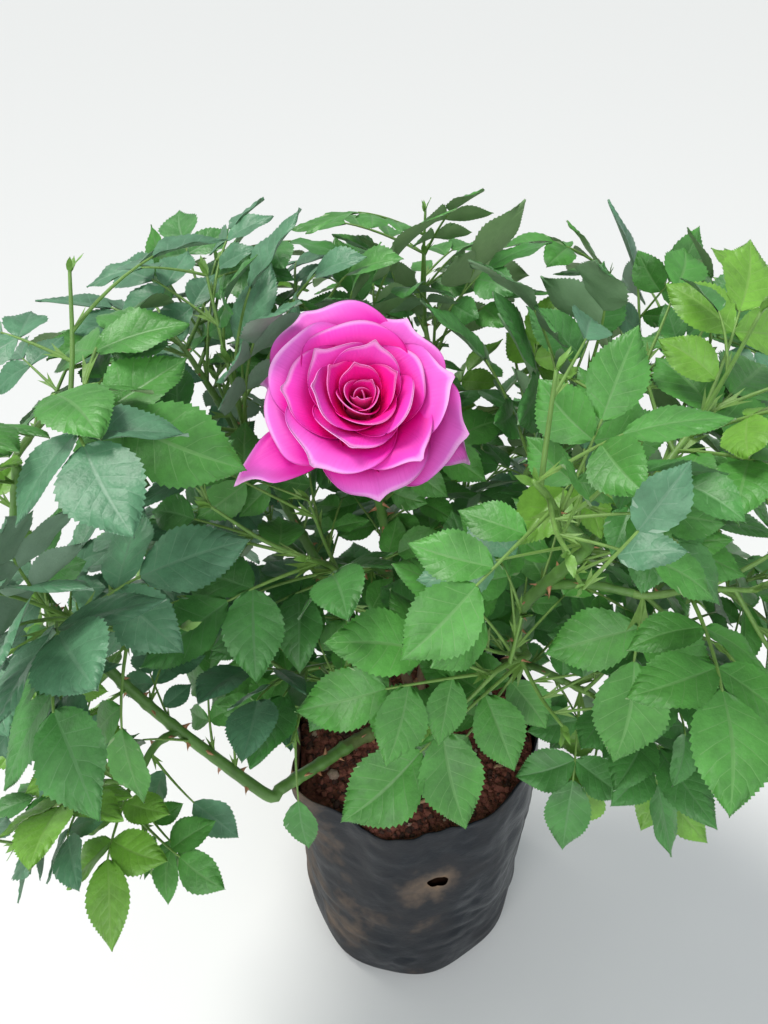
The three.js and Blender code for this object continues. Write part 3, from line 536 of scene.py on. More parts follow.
LIMB_SEGMENTS = Segments(
    [curve.point(steps(13)) for curve in LIMB_CURVES.values()],
    [spec["radius"] for spec in LIMBS.values()],
)
NAMES = list(MASSES)
SKELETON_LINES = [skeleton_lines(name) for name in NAMES]
SKELETON_STEMS = {name: Segments(lines[:1]) for name, lines in zip(NAMES, SKELETON_LINES)}
SKELETONS = Segments([line for lines in SKELETON_LINES for line in lines])
SKELETON_COUNTS = [sum(len(line) - 1 for line in lines) for lines in SKELETON_LINES]
SKELETON_STARTS = np.cumsum([0] + SKELETON_COUNTS[:-1])
BLOOM_MIDDLE = BLOOM_SEAT + unit(BLOOM_AXIS) * 12
BLOOM_LINE = Segments([np.array([BLOOM_MIDDLE, BLOOM_MIDDLE + BLOOM_VIEW])])


def has_room(points, name, margin):
    """Whether the points are in reach, clear of bag, bloom and limbs, and in the mass's own space."""
    shares = np.abs((points - REACH_CENTRE) / REACH)
    x, y, z = points.T
    at_bag = (np.hypot(x, y) < BAG_CLEAR_RADIUS) & (z < BAG_CLEAR_HEIGHT)
    if (
        at_bag.any()
        or ((shares**REACH_POWER).sum(-1) > 1).any()
        or (far(points - BLOOM_MIDDLE) < BLOOM_CLEAR).any()
        or (BLOOM_LINE.distances(points) < BLOOM_VIEW_CLEAR).any()
        or (LIMB_SEGMENTS.distances(points) < LIMB_SEGMENTS.radii + margin).any()
    ):
        return False
    if name is None:
        return True
    mine = NAMES.index(name)
    nearest = np.minimum.reduceat(SKELETONS.distances(points), SKELETON_STARTS, axis=1)
    others = np.delete(nearest, mine, axis=1)
    return (others > np.maximum(nearest[:, [mine]] - SHARED_SPACE, STEM_CLEAR)).all()


class TakenSpace:
    """Points that leaves have taken, kept by the cube of space that they lie in."""

    shifts = [np.array(shift) for shift in product((-1, 0, 1), repeat=3)]

    def __init__(self):
        self.near = {}

    def grouped(self, points):
        cubes = np.floor(points / LEAFLET_GAP).astype(int)
        kinds, which = np.unique(cubes, axis=0, return_inverse=True)
        which = which.reshape(-1)
        return [(kind, points[which == i]) for i, kind in enumerate(kinds)]

    def add(self, points, owner):
        for cube, block in self.grouped(points):
            for shift in self.shifts:
                row = self.near.setdefault(tuple(cube + shift), [[], [], None])
                row[0].append(block)
                row[1].append(np.full(len(block), owner))
                row[2] = None

    def is_free(self, points, owner, own_gap=OWN_GAP, gap=LEAFLET_GAP):
        for cube, mine in self.grouped(points):
            row = self.near.get(tuple(cube))
            if row is None:
                continue
            if row[2] is None:
                row[2] = (np.vstack(row[0]), np.concatenate(row[1]))
            others, owners = row[2]
            limit = np.where(owners == owner, own_gap, gap) ** 2
            if (((mine[:, None] - others) ** 2).sum(-1) <= limit).any():
                return False
        return True


def space_of(leaf):
    return np.vstack([stalk_points(leaf)] + [blade_points(leaflet) for leaflet in leaf["leaflets"]])


def centre_of(leaflet):
    return leaflet[0] + leaflet[1] * leaflet[3] / 2


def with_those(leaf, fits):
    """The leaf with the leaflets that fit, or nothing where its end leaflet doesn't."""
    end, *others = leaf["leaflets"]
    if not fits(end):
        return None
    return dict(leaf, leaflets=[end] + [leaflet for leaflet in others if fits(leaflet)])


def clear_of_stem(blade, name):
    return (SKELETON_STEMS[name].distances(blade) > STEM_CLEAR).all()


def fitted(leaf, name, taken):
    """The leaf with those of its leaflets that have room, or nothing where its end has none."""
    owner = NAMES.index(name)
    stalk = stalk_points(leaf)

    def fits(leaflet):
        blade = blade_points(leaflet)
        free = taken.is_free(blade, owner) and clear_of_stem(blade, name)
        return free and has_room(blade, name, BLADE_CLEAR)

    if has_room(stalk, name, STALK_CLEAR) and taken.is_free(stalk, owner):
        return with_those(leaf, fits)
    return None


def leaf_on(curve, share, turn, splay, length, stalk, lean):
    """A leaf on a stem: its heading splays from the stem's direction, and turns round it."""
    root = curve.at(share)
    heading = unit(curve.splayed(share, turn, splay) + UP * 0.1)
    return compound_leaf(root, root + heading * length * stalk, length, lean)


def drawn_leaf(name, draw, index, turn):
    rule, size = MASSES[name][3:5]
    splay = math.radians(lerp(20, 95, draw()))
    length = size * lerp(0.88, 1.12, draw())
    stalk = STALK_SHARE * lerp(0.75, 1.1, draw())
    lean = np.array([draw() - 0.5, draw() - 0.5, 0]) * 0.5
    share = lerp(0.2, 1, index / max(1, rule - 1))
    return leaf_on(STEMS[name], share, turn, splay, length, stalk, lean)


def grown_leaves():
    """The leaves of every mass: first the aimed ones, then those of the rule, one a mass in turn."""
    taken = TakenSpace()
    grown = []
    centres = []

    def keep(name, leaf, aimed):
        grown.append(dict(leaf, spray=name, aimed=aimed))
        taken.add(space_of(leaf), NAMES.index(name))
        centres.extend(centre_of(leaflet) for leaflet in leaf["leaflets"])

    for name, row in MASSES.items():
        for t, tip, length in row[5]:
            leaf = compound_leaf(STEMS[name].at(t), np.array(tip, float), length, VIEWER_LEAN)
            leaf = fitted(leaf, name, taken)
            if leaf:
                keep(name, leaf, True)
    draws = {name: seeded(MASSES[name][2]) for name in NAMES}
    turned = {name: draws[name]() * FULL_TURN for name in NAMES}
    for i in range(max(row[3] for row in MASSES.values())):
        for name in NAMES:
            if i >= MASSES[name][3]:
                continue
            best = None
            best_score = 0
            for k in range(HEADINGS):
                turn = turned[name] + i * GOLDEN + FULL_TURN * k / HEADINGS
                leaf = fitted(drawn_leaf(name, draws[name], i, turn), name, taken)
                if not leaf:
                    continue
                away = far(np.array(centres) - centre_of(leaf["leaflets"][0]))
                score = len(leaf["leaflets"]) + 2.5 * min(WIDE_SPACE, away.min()) / WIDE_SPACE
                if score > best_score:
                    best = leaf
                    best_score = score
            if best:
                keep(name, best, False)
    return grown


def towards_viewer(leaves):
    """The leaves, with the aimed ones turned to the viewer as far as that keeps them clear."""
    spaces = [space_of(leaf) for leaf in leaves]
    for i, leaf in enumerate(leaves):
        if not leaf["aimed"]:
            continue
        name = leaf["spray"]
        others = np.vstack(spaces[:i] + spaces[i + 1:])
        others = others[far(others - leaf["tip"]) < NEIGHBOURHOOD]

        def is_clear(points, margin, gap):
            return (far(points[:, None] - others) >= gap).all() and has_room(points, name, margin)

        def fits(leaflet):
            blade = blade_points(leaflet)
            return is_clear(blade, BLADE_CLEAR, OWN_GAP) and clear_of_stem(blade, name)

        for turn in VIEWER_TURNS:
            lean = turn * unit(CAMERA - leaf["tip"])
            turned = compound_leaf(leaf["root"], leaf["tip"], leaf["size"], lean)
            kept = with_those(turned, fits)
            whole = kept and len(kept["leaflets"]) >= len(leaf["leaflets"])
            if whole and is_clear(stalk_points(turned), STALK_CLEAR, STALK_CLEAR):
                leaves[i] = leaf | kept
                spaces[i] = space_of(kept)
                break
    return leaves


class Shown:
    """What the photograph shows in front: its directions from the camera, and how far away it is."""

    def __init__(self, blocks):
        away = np.vstack(blocks) - CAMERA
        self.far = far(away)
        self.ways = unit(away)

    def hidden_by(self, leaflet):
        away = blade_points(leaflet) - CAMERA
        near = unit(away) @ self.ways.T > SHOWN_SPREAD
        return (near & (far(away)[:, None] < self.far - 2)).any()


def fine_leaf(curve, share, turn, size, draw, taken, shown, owner, name):
    """The finer leaf with most leaflets among a few headings, or nothing."""
    best = None
    most = 0

    def is_free(points, margin):
        return has_room(points, None, margin) and taken.is_free(points, owner, FINE_GAP, FINE_GAP)

    def fits(leaflet):
        return is_free(blade_points(leaflet), FINE_BLADE_CLEAR) and not shown.hidden_by(leaflet)

    for k in range(FINE_HEADINGS):
        splay = math.radians(lerp(35, 88, draw()))
        length = size * lerp(0.8, 1.12, draw())
        stalk = lerp(0.95, 1.4, draw())
        lean = np.array([draw() - 0.5, draw() - 0.5, 0]) * 0.6 + FINE_LEAN
        leaf = leaf_on(curve, share, turn + FULL_TURN * k / FINE_HEADINGS, splay, length, stalk, lean)
        if not is_free(stalk_points(leaf)[1:], FINE_STALK_CLEAR):
            continue
        kept = with_those(leaf, fits)
        if kept and len(kept["leaflets"]) > most:
            best = dict(kept, spray=name)
            most = len(kept["leaflets"])
        if most == len(leaf["leaflets"]) and k >= 2:
            break
    if best:
        taken.add(space_of(best), owner)
    return best


def shown_stretches(names):
    """Points of the stretches of limb that the photograph shows in front."""
    return [LIMB_CURVES[name].at(np.linspace(*SHOWN_LIMBS[name], 12)) for name in names]


def off_the_limbs(leaves):
    """The leaves without what hides a stretch of limb that the photograph shows in front of them."""
    shown = Shown(shown_stretches(SHOWN_LIMBS))
    before_aimed = Shown(shown_stretches([BEFORE_AIMED]))
    kept = []
    for leaf in leaves:
        front = before_aimed if leaf["aimed"] else shown
        kept.append(with_those(leaf, lambda leaflet: not front.hidden_by(leaflet)))
    return [leaf for leaf in kept if leaf]


def finer_growth(taken, shown):
    """Twigs that leave the stems, and the smaller leaves on them and along the limbs."""
    twigs = []
    leaves = []

    def grow(curve, share, turn, size, draw, owner, name):
        leaf = fine_leaf(curve, share, turn, size, draw, taken, shown, owner, name)
        if leaf:
            leaves.append(leaf)

    for number, name in enumerate(NAMES):
        taken.add(STEMS[name].at(steps(24)), number)
    for name, (_, _, seed, _, leaf_size, _) in MASSES.items():
        draw = seeded(seed + TWIG_SEED)
        turned = draw() * FULL_TURN
        for i in range(FINE_TWIGS):
            share = lerp(0.12, 0.86, i / (FINE_TWIGS - 1))
            twig = fine_twig(STEMS[name], share, turned + i * GOLDEN, draw, taken)
            if twig is None:
                continue
            owner = FIRST_TWIG_OWNER + len(twigs)
            taken.add(twig.at(np.linspace(0.2, 1, 14)), owner)
            twigs.append(twig)
            for k in range(FINE_TWIG_LEAVES):
                share = lerp(0.3, 1, k / (FINE_TWIG_LEAVES - 1))
                grow(twig, share, turned + k * GOLDEN, leaf_size * FINE_LEAF, draw, owner, owner)
    for number, (name, curve) in enumerate(LIMB_CURVES.items()):
        draw = seeded(CANE_LEAF_SEED + number)
        count = int(curve.length / CANE_LEAF_STEP)
        turned = draw() * FULL_TURN
        for i in range(1, count + 1):
            share = i / (count + 0.5)
            if curve.at(share)[2] >= CANE_LEAF_LEAST_HEIGHT:
                grow(curve, share, turned + i * GOLDEN, CANE_LEAF, draw, FIRST_LIMB_OWNER + number, name)
    return twigs, leaves


def fine_twig(stem, share, turn, draw, taken):
    """A short side twig that turns up towards the light, or nothing where it has no room."""
    for k in range(FINE_TWIG_HEADINGS):
        root = stem.at(share)
        splay = math.radians(lerp(35, 75, draw()))
        heading = stem.splayed(share, turn + k * FULL_TURN / FINE_TWIG_HEADINGS, splay)
        reach = FINE_TWIG_LENGTH * lerp(0.7, 1.2, draw())
        middle = root + heading * reach * 0.5
        end = root + heading * reach + UP * reach * 0.16
        twig = Curve([root, middle, end])
        points = twig.at(np.linspace(0.25, 1, 8))
        if has_room(points, None, TWIG_CLEAR) and taken.is_free(points, -1, FINE_GAP, FINE_GAP):
            return twig
    return None


# Meshes


class Heap:
    """Small shapes that are joined into one piece."""

    def __init__(self):
        self.points = []
        self.faces = []
        self.looks = []
        self.maps = []
        self.count = 0

    def add(self, points, faces, looks=0, places=None):
        """faces is a list of index arrays of one width each, looks their materials' numbers."""
        points = np.asarray(points, float).reshape(-1, 3)
        self.points.append(points)
        self.maps.append(np.zeros((len(points), 2)) if places is None else places.reshape(-1, 2))
        looks = looks if isinstance(looks, list) else [looks] * len(faces)
        for block, look in zip(faces, looks):
            self.faces.append(np.asarray(block, int) + self.count)
            self.looks.append(np.broadcast_to(look, len(block)))
        self.count += len(points)

    def add_rings(self, rings, tip, looks=0):
        """A skin over rings of points (rings, sides, 3), closed by a point after the last ring."""
        count, sides = rings.shape[:2]
        last = (count - 1) * sides + np.arange(sides)
        cap = np.stack([last, np.roll(last, -1), np.full(sides, count * sides)], -1)
        points = np.vstack([rings.reshape(-1, 3), tip])
        self.add(points, [grid_faces(count, sides, closed=True), cap], looks)

    def add_many(self, shapes, faces, looks=0):
        """Shapes of the same points (shapes, points, 3) that share their faces."""
        shift = np.arange(len(shapes))[:, None, None] * shapes.shape[1]
        self.add(shapes, [(block + shift).reshape(-1, block.shape[1]) for block in faces], looks)

    def made(self, name, materials, replaces=(), slot="leaf", smooth=True, mapped=False):
        mesh = bpy.data.meshes.new(name)
        points = np.vstack(self.points) * MM
        loops = np.concatenate([block.ravel() for block in self.faces])
        sizes = np.concatenate([np.full(len(block), block.shape[1]) for block in self.faces])
        mesh.vertices.add(len(points))
        mesh.vertices.foreach_set("co", points.astype(np.float32).ravel())
        mesh.loops.add(len(loops))
        mesh.loops.foreach_set("vertex_index", loops.astype(np.int32))
        mesh.polygons.add(len(sizes))
        starts = np.concatenate([[0], np.cumsum(sizes)[:-1]])
        mesh.polygons.foreach_set("loop_start", starts.astype(np.int32))
        mesh.polygons.foreach_set("material_index", np.concatenate(self.looks).astype(np.int32))
        mesh.polygons.foreach_set("use_smooth", np.full(len(sizes), smooth))
        if mapped:
            layer = mesh.uv_layers.new(name="petal")
            layer.data.foreach_set("uv", np.vstack(self.maps)[loops].astype(np.float32).ravel())
        mesh.update(calc_edges=True)
        mesh.validate()
        for material in materials:
            mesh.materials.append(material)
        piece = bpy.data.objects.new(name, mesh)
        bpy.context.scene.collection.objects.link(piece)
        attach(piece, "root")
        if replaces:
            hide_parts(*replaces)
        return piece


def grid_faces(rows, columns, closed=False):
    """Faces between the rows of a grid of points, closed round its columns or not."""
    across = columns if closed else columns - 1
    i, j = np.meshgrid(np.arange(rows - 1), np.arange(across), indexing="ij")
    k = (j + 1) % columns
    quads = np.stack([i * columns + j, i * columns + k, (i + 1) * columns + k, (i + 1) * columns + j], -1)
    return quads.reshape(-1, 4)


def tube(centres, radii, sides):
    """Rings round a line of centres, and the point at its end. radii is (rings,) or (rings, sides)."""
    along = unit(np.gradient(centres, axis=0))
    normal = unit(np.cross(along[0], UP + 0.01))
    normals = []
    for ahead in along:
        normal = unit(normal - ahead * (normal @ ahead))
        normals.append(normal)
    normals = np.array(normals)
    sideways = np.cross(along, normals)
    turn = circle(sides)[:, None]
    radii = np.asarray(radii, float)
    radii = radii[:, None] if radii.ndim == 1 else radii
    round_it = normals[:, None] * np.cos(turn) + sideways[:, None] * np.sin(turn)
    rings = centres[:, None] + radii[..., None] * round_it
    return rings, centres[-1] + along[-1] * radii[-1].mean() * 0.5


# Materials


def set_inputs(node, values):
    for key, value in values.items():
        node.inputs[key.replace("_", " ")].default_value = value


def shader(name, color, roughness, **inputs):
    """A material of one shader, with its tree and its shader node."""
    material = bpy.data.materials.new(name)
    material.use_nodes = True
    tree = material.node_tree
    node = tree.nodes["Principled BSDF"]
    set_inputs(node, dict(inputs, Base_Color=(*color, 1), Roughness=roughness))
    material.diffuse_color = (*color, 1)
    return material, tree, node


def add_node(tree, kind, sources, **values):
    """A node of a kind, with what is linked to its inputs and the values of others."""
    node = tree.nodes.new("ShaderNode" + kind)
    set_inputs(node, values)
    for key, source in sources.items():
        tree.links.new(source, node.inputs[key])
    return node


def noise_node(tree, scale, detail=4, stretch=None, roughness=0.55):
    place = add_node(tree, "TexCoord", {}).outputs["Object"]
    if stretch:
        place = add_node(tree, "Mapping", {"Vector": place}, Scale=stretch).outputs["Vector"]
    spots = add_node(tree, "TexNoise", {"Vector": place}, Scale=scale, Detail=detail, Roughness=roughness)
    return spots.outputs["Fac"]


def ramp(tree, source, stops):
    node = tree.nodes.new("ShaderNodeValToRGB")
    first, last = node.color_ramp.elements
    first.position, first.color = stops[0][0], (*stops[0][1], 1)
    last.position, last.color = stops[-1][0], (*stops[-1][1], 1)
    for place, color in stops[1:-1]:
        node.color_ramp.elements.new(place).color = (*color, 1)
    tree.links.new(source, node.inputs["Fac"])
    return node.outputs["Color"]


def bump(tree, node, source, distance, strength=1.0, before=None):
    sources = {"Height": source, "Normal": before} if before else {"Height": source}
    normal = add_node(tree, "Bump", sources, Distance=distance, Strength=strength).outputs["Normal"]
    tree.links.new(normal, node.inputs["Normal"])
    return normal


def mapped_range(tree, source, low, high, to_low, to_high):
    limits = dict(From_Min=low, From_Max=high, To_Min=to_low, To_Max=to_high)
    return add_node(tree, "MapRange", {"Value": source}, **limits).outputs["Result"]


def added(tree, one, other):
    return add_node(tree, "Math", {0: one, 1: other}).outputs["Value"]


def shade(color, factor):
    return tuple(min(1.0, c * factor) for c in color)


def mottled(
    name, color, roughness, scale, spread=0.16, relief=0.0002, stretch=None, detail=4, grain=0, **inputs
):
    """A surface whose colour varies a little with noise, over fine relief."""
    material, tree, node = shader(name, color, roughness, **inputs)
    spots = noise_node(tree, scale, detail, stretch, 0.55 + 0.02 * detail)
    stops = [(0.3, shade(color, 1 - spread)), (0.7, shade(color, 1 + spread))]
    tree.links.new(ramp(tree, spots, stops), node.inputs["Base Color"])
    bump(tree, node, noise_node(tree, grain or scale * 3, stretch=stretch), relief)
    return material


def bark(name, color, roughness, scale, spread, relief=0.0002):
    return mottled(name, color, roughness, scale, spread, relief, stretch=(1, 1, 0.3))


# The tints of the foliage: the upper side, and the underside
TINTS = {
    "mid": ((0.063, 0.225, 0.048), (0.20, 0.34, 0.18)),
    # The bluer tint is paler and greyer than the others: partly the leaves' own tone and partly painted sky
    # sheen.
    "blue": ((0.088, 0.23, 0.118), (0.23, 0.36, 0.25)),
    "fresh": ((0.072, 0.255, 0.042), (0.23, 0.37, 0.16)),
    "young": ((0.15, 0.35, 0.04), (0.29, 0.42, 0.14)),
    "turning": ((0.30, 0.36, 0.04), (0.38, 0.42, 0.12)),
}

# The film's colours, from clean to dusty
FILM_STOPS = [
    (0.5, (0.004, 0.007, 0.012)),
    (0.66, (0.021, 0.022, 0.025)),
    (0.8, (0.12, 0.09, 0.068)),
    (0.95, (0.27, 0.17, 0.1)),
]
# The petals' colours from foot to rim, and the paler one that their backs tend to
PETAL_COLORS = {
    "inner": ((0.76, 0.0, 0.09), (0.84, 0.0, 0.20), (0.85, 0.01, 0.34), (0.90, 0.20, 0.58)),
    "middle": ((0.70, 0.0, 0.11), (0.83, 0.0, 0.29), (0.83, 0.055, 0.52), (0.91, 0.38, 0.78)),
    "outer": ((0.72, 0.0, 0.17), (0.81, 0.01, 0.40), (0.79, 0.15, 0.64), (0.91, 0.45, 0.84)),
}
PETAL_BACK = np.array([0.85, 0.2, 0.6])

# The blade of a leaflet: rows of points along it, and from every third row a side vein


def blade_side(teeth, columns, ribbed):
    """One side of a blade: its points (along, share of the half width, side, tooth, crest), its faces
    and their looks, 0 for the blade and 2 for its ribs."""
    places = [(0.0, 0.0, 1, 0, 0), (1.0, 0.0, 1, 0, 0)]
    index = {}
    kept = {3: ([], []), 4: ([], [])}
    last = len(columns)

    def number(key, *place):
        if key not in index:
            index[key] = len(places)
            places.append(place)
        return index[key]

    def inner(k, c, side):
        if k in (0, teeth):
            return k // teeth
        along = (k - (1 - VEIN_BAND) * (ribbed and k % 3 == 1)) / teeth
        if c == 0:
            return number((k, c), along, 0.0, 1, 0, 0)
        return number((k, c, side), along, columns[c - 1], side, 0, ribbed and k % 3 == 2)

    def notch(k, side):
        return k // teeth if k in (0, teeth) else number((k, "notch", side), k / teeth, 1.0, side, NOTCH, 0)

    def tip(k, side):
        return number((k, "tip", side), (k + TOOTH_LEAN) / teeth, 1.0, side, TOOTH, 0)

    def keep(face, look, side):
        face = list(dict.fromkeys(face))[::-side]
        if len(face) > 2:
            kept[len(face)][0].append(face)
            kept[len(face)][1].append(look)

    for side in (1, -1):
        for k in range(teeth):
            for c in range(last):
                corners = [(k, c), (k, c + 1), (k + 1, c + 1), (k + 1, c)]
                rib = ribbed and (c == 0 or k % 3 == 0)
                keep([inner(*corner, side) for corner in corners], 2 * rib, side)
            keep([inner(k, last, side), notch(k, side), tip(k, side), inner(k + 1, last, side)], 0, side)
            keep([inner(k + 1, last, side), tip(k, side), notch(k + 1, side)], 0, side)
    return np.array(places, float), [(np.array(faces), np.array(looks)) for faces, looks in kept.values()]


# For a leaf's size: the upper side and the underside of its leaflets
BLADES = {
    "large": (blade_side(24, [0.05, 0.42, 0.82], True), blade_side(24, [0.75], False)),
    "small": (blade_side(15, [0.06, 0.5], True), blade_side(15, [], False)),
    "tip": (blade_side(6, [0.5], False), blade_side(6, [], False)),
}


def half_width(x):
    """The blade's half width at a share of its length: round at its base, pointed at its tip."""
    x = np.clip(x, 0, 1)
    return HALF_WIDTH * np.sin(math.pi * x**0.9) ** (0.7 + 0.5 * x)


def blades(heap, leaflets, sides, draw, slim=1.0):
    """The upper side and the underside of many leaflets, each bent and folded in its own way."""
    base, direction, normal, length = (np.array(part)[:, None] for part in zip(*leaflets))
    sideways = np.cross(normal, direction)
    chance = np.array([[draw() for _ in BLADE_BENDS] for _ in leaflets])
    fold, droop, width, wave, phase, twist, bend = lerp(*BLADE_BENDS.T, chance).T[..., None]
    for under, (places, blocks) in enumerate(sides):
        m, share, side, tooth, crest = places.T
        bulge = np.sin(math.pi * m)
        x = m + SLANT * share * bulge * (1 - 0.35 * m)
        half = (half_width(x) * share + tooth * np.sqrt(np.abs(bulge))) * (width * slim)
        y = side * half + bend * np.sin(math.pi * x)
        z = fold * half - droop * x**2 + wave * share**2 * np.sin(13.8 * x + phase + side * 1.3)
        z = z + bulge * (VEIN_RELIEF * 4 * crest * share * (1 - share) - 0.05 * share**2)
        z = z - under * (BLADE_THICKNESS * (share < 1) + 0.001)
        y, z = spun(y, z, twist * x)
        bent = x[:, None] * direction + y[..., None] * sideways + z[..., None] * normal
        points = base + length[..., None] * bent
        looks = 1 if under else [np.tile(look, len(leaflets)) for _, look in blocks]
        heap.add_many(points, [block[:, ::-1] if under else block for block, _ in blocks], looks)


def stalk_mesh(heap, leaf, draw):
    """A leaf's stalk as a thin tube, with the two wings at its foot."""
    t = np.linspace(0, 0.985, 7)
    centres = arched(leaf["root"], leaf["arch"], leaf["tip"], t[:, None])
    size = leaf["size"] / 30
    heap.add_rings(*tube(centres, lerp(0.72, 0.38, t) * size**0.5, 5))
    ahead = unit(centres[2] - centres[0])
    side = unit(np.cross(leaf["light"], ahead))
    for way in (1, -1):
        wide = 2.6 + draw()
        shape = [(0, 0.3, 0.3), (0.45, 1.3, 0.7), (1.15, wide, 1.1), (0.82, 0.9, 0.6), (0.9, 0.2, 0.4)]
        points = [
            centres[0] + size * (ahead * 9 * along + side * way * out + leaf["light"] * lift)
            for along, out, lift in shape
        ]
        heap.add(points, [[[0, 1, 3], [1, 2, 3], [0, 3, 4]]])


def prickle(heap, place, outward, along, size):
    """A hooked prickle on a broad foot, bent back down the limb."""
    side = np.cross(outward, along)
    turn = circle(5)[:, None]
    rings = [
        place + size * (outward * lift + along * (back + deep * np.sin(turn)) + side * wide * np.cos(turn))
        for lift, back, wide, deep in PRICKLE_RINGS
    ]
    heap.add_rings(np.array(rings), place + size * (outward - along * 0.36))


# Limbs


def limb_mesh(heap, curve, radius, tip, seed, wood=0.0, sides=12):
    """A limb with swollen nodes and relief. wood is the share of it that is brown."""
    count = max(6, int(curve.length / 1.5))
    share = steps(count + 1)
    centres = curve.at(share)
    centres[-1] += curve.tangent(1)
    along = share * curve.length
    radii = lerp(radius, tip, share)
    for knot in np.arange(0.3, 0.97, NODE_STEP / curve.length):
        away = along - knot * curve.length
        radii = radii * (1 + 0.17 * np.exp(-((away / 1.5) ** 2)) - 0.06 * np.exp(-(((away - 3) / 1.3) ** 2)))
    turn = circle(sides)
    around = stacked(6 * np.cos(turn), 6 * np.sin(turn), along[:, None])
    relief = noise(around, 2.6, seed) * 0.05 + noise(around * [1, 1, 0.2], 1.4, seed + 1) * 0.07 * (wood > 0)
    ring = np.repeat(np.arange(count), sides) / count + BARK_EDGE * relief[:-1].ravel()
    look = np.where(ring < wood, 0, np.where(ring < wood + 0.25, 1, 2)) if wood else 2
    heap.add_rings(*tube(centres, radii[:, None] * (1 + relief), sides), [look, 2])


def limb_prickles(heap, curve, radius, tip, seed, step):
    draw = seeded(seed)
    for i in range(int(curve.length / step)):
        share = lerp(0.08, 0.97, (i + 0.7 * draw()) / (curve.length / step))
        place = curve.at(share)
        if place[2] < PRICKLE_LEAST_HEIGHT:
            continue
        along = curve.tangent(share)
        outward = square_to(along, i * GOLDEN + 0.8 * draw(), UP + 0.01)
        r = lerp(radius, tip, share)
        prickle(heap, place + outward * r * 0.9, outward, along, lerp(2.2, 4.4, draw()) * (r / 2.4) ** 0.5)


def trunk_mesh(heap):
    """The short woody stem: a root flare with lobes, a waist and a knotted head, with cracked bark."""
    share = steps(40)[:, None]
    turn = circle(48)
    width = np.interp(ease(share) * 0.3 + share * 0.7, *np.array(TRUNK_PROFILE).T)
    lobe = 1 + ROOT_LOBE_DEPTH * (1 - share) * np.cos(ROOT_LOBES * turn + 0.6)
    place = stacked(7 * np.cos(turn), 7 * np.sin(turn), share * TRUNK_HEIGHT)
    cracks = np.abs(noise(place * [1, 1, 0.35], 2.3, 5))
    relief = 1 + 0.05 * noise(place, 5, 3) - 0.09 * (1 - ease(cracks * 4)) + 0.03 * noise(place, 1.1, 7)
    r = TRUNK_RADIUS * width * lobe * relief
    foot = SOIL_HEIGHT + CLEARANCE
    x = r * np.cos(turn) + TRUNK_LEAN[0] * share
    y = r * np.sin(turn) + TRUNK_LEAN[1] * share
    top = [*TRUNK_LEAN, foot + TRUNK_HEIGHT + 1.5]
    heap.add_rings(stacked(x, y, foot + share * TRUNK_HEIGHT), top)


# The bag and the soil


def rim_height(angle):
    front = angle + math.pi / 2
    return (
        BAG_RIM_HEIGHT
        - RIM_FRONT_DIP * np.maximum(0, np.cos(front)) ** 3
        + RIM_SLOPE * np.cos(front - RIM_SLOPE_TURN)
        + RIM_WAVE_HEIGHT * np.sin(RIM_WAVES * front + 0.7)
    )


def bag_radius(angle, height):
    share = height / BAG_RIM_HEIGHT
    foot = np.minimum(1, height / BAG_FOOT_HEIGHT)
    creases = sum(depth * np.sin(n * angle + turn + twist * share) for n, depth, turn, twist in BAG_CREASES)
    belly = BAG_BELLY * np.sin(math.pi * share) - BAG_NARROWING * share
    return lerp(BAG_FOOT_RADIUS, BAG_RADIUS, foot) + (creases + belly) * foot


def turned_by(angle, middle):
    return np.angle(np.exp(1j * (angle - middle)))


def pinch(angle):
    """How near an angle is to the bag's pinched corner, from 0 to 1."""
    return np.exp(-((turned_by(angle, BAG_CORNER) / BAG_CORNER_WIDTH) ** 2))


def rim_line(angle):
    """The rim's height, raised at the pinched corner and a little ragged."""
    return rim_height(angle) + 5 * pinch(angle) + 0.5 * np.sin(23 * angle) * np.sin(9 * angle + 1)


def bag_surface(angle, share, inset):
    """The film from its foot to its rim: the solid's shape with crinkles and a pinched corner."""
    height = share * rim_line(angle)
    place = stacked(40 * np.cos(angle), 40 * np.sin(angle), height * 0.8)
    long_folds = noise(place * [1, 1, 0.35], 13, 2)
    crinkles = np.abs(noise(place, 9, 4)) - 0.35
    fine = noise(place + 3 * noise(place, 8, 6)[..., None], 4, 8)
    r = bag_radius(angle, height) + ease((height - 6) / 20) * (long_folds + 1.3 * crinkles + 0.35 * fine)
    r = r + ease((share - 0.72) / 0.28) * (7.5 * pinch(angle) + 0.8 * np.sin(7 * angle + 0.5)) - inset
    return stacked(r * np.cos(angle), r * np.sin(angle), height)


def with_holes(angle, share):
    """The film's grid with the points near a drain hole's ragged edge moved onto it, and which
    points lie in a hole."""
    inside = np.zeros(share.shape, bool)
    for degrees in DRAIN_ANGLES:
        away = turned_by(angle, math.radians(degrees)) * BAG_RADIUS
        rise = share * rim_line(angle) - DRAIN_HEIGHT
        around = np.arctan2(rise / DRAIN_TALL, away / DRAIN_WIDTH)
        ragged = 1 + 0.2 * np.sin(2 * around + degrees) + 0.08 * np.sin(5 * around)
        depth = np.hypot(2 * away / DRAIN_WIDTH, 2 * rise / DRAIN_TALL) / ragged
        near = np.abs(depth - 1) < HOLE_EDGE
        move = near * (1 / np.maximum(depth, 0.1) - 1)
        share = share + rise * move / rim_line(angle)
        angle = angle + away * move / BAG_RADIUS
        inside |= depth < 1 + HOLE_EDGE
    return angle, share, inside


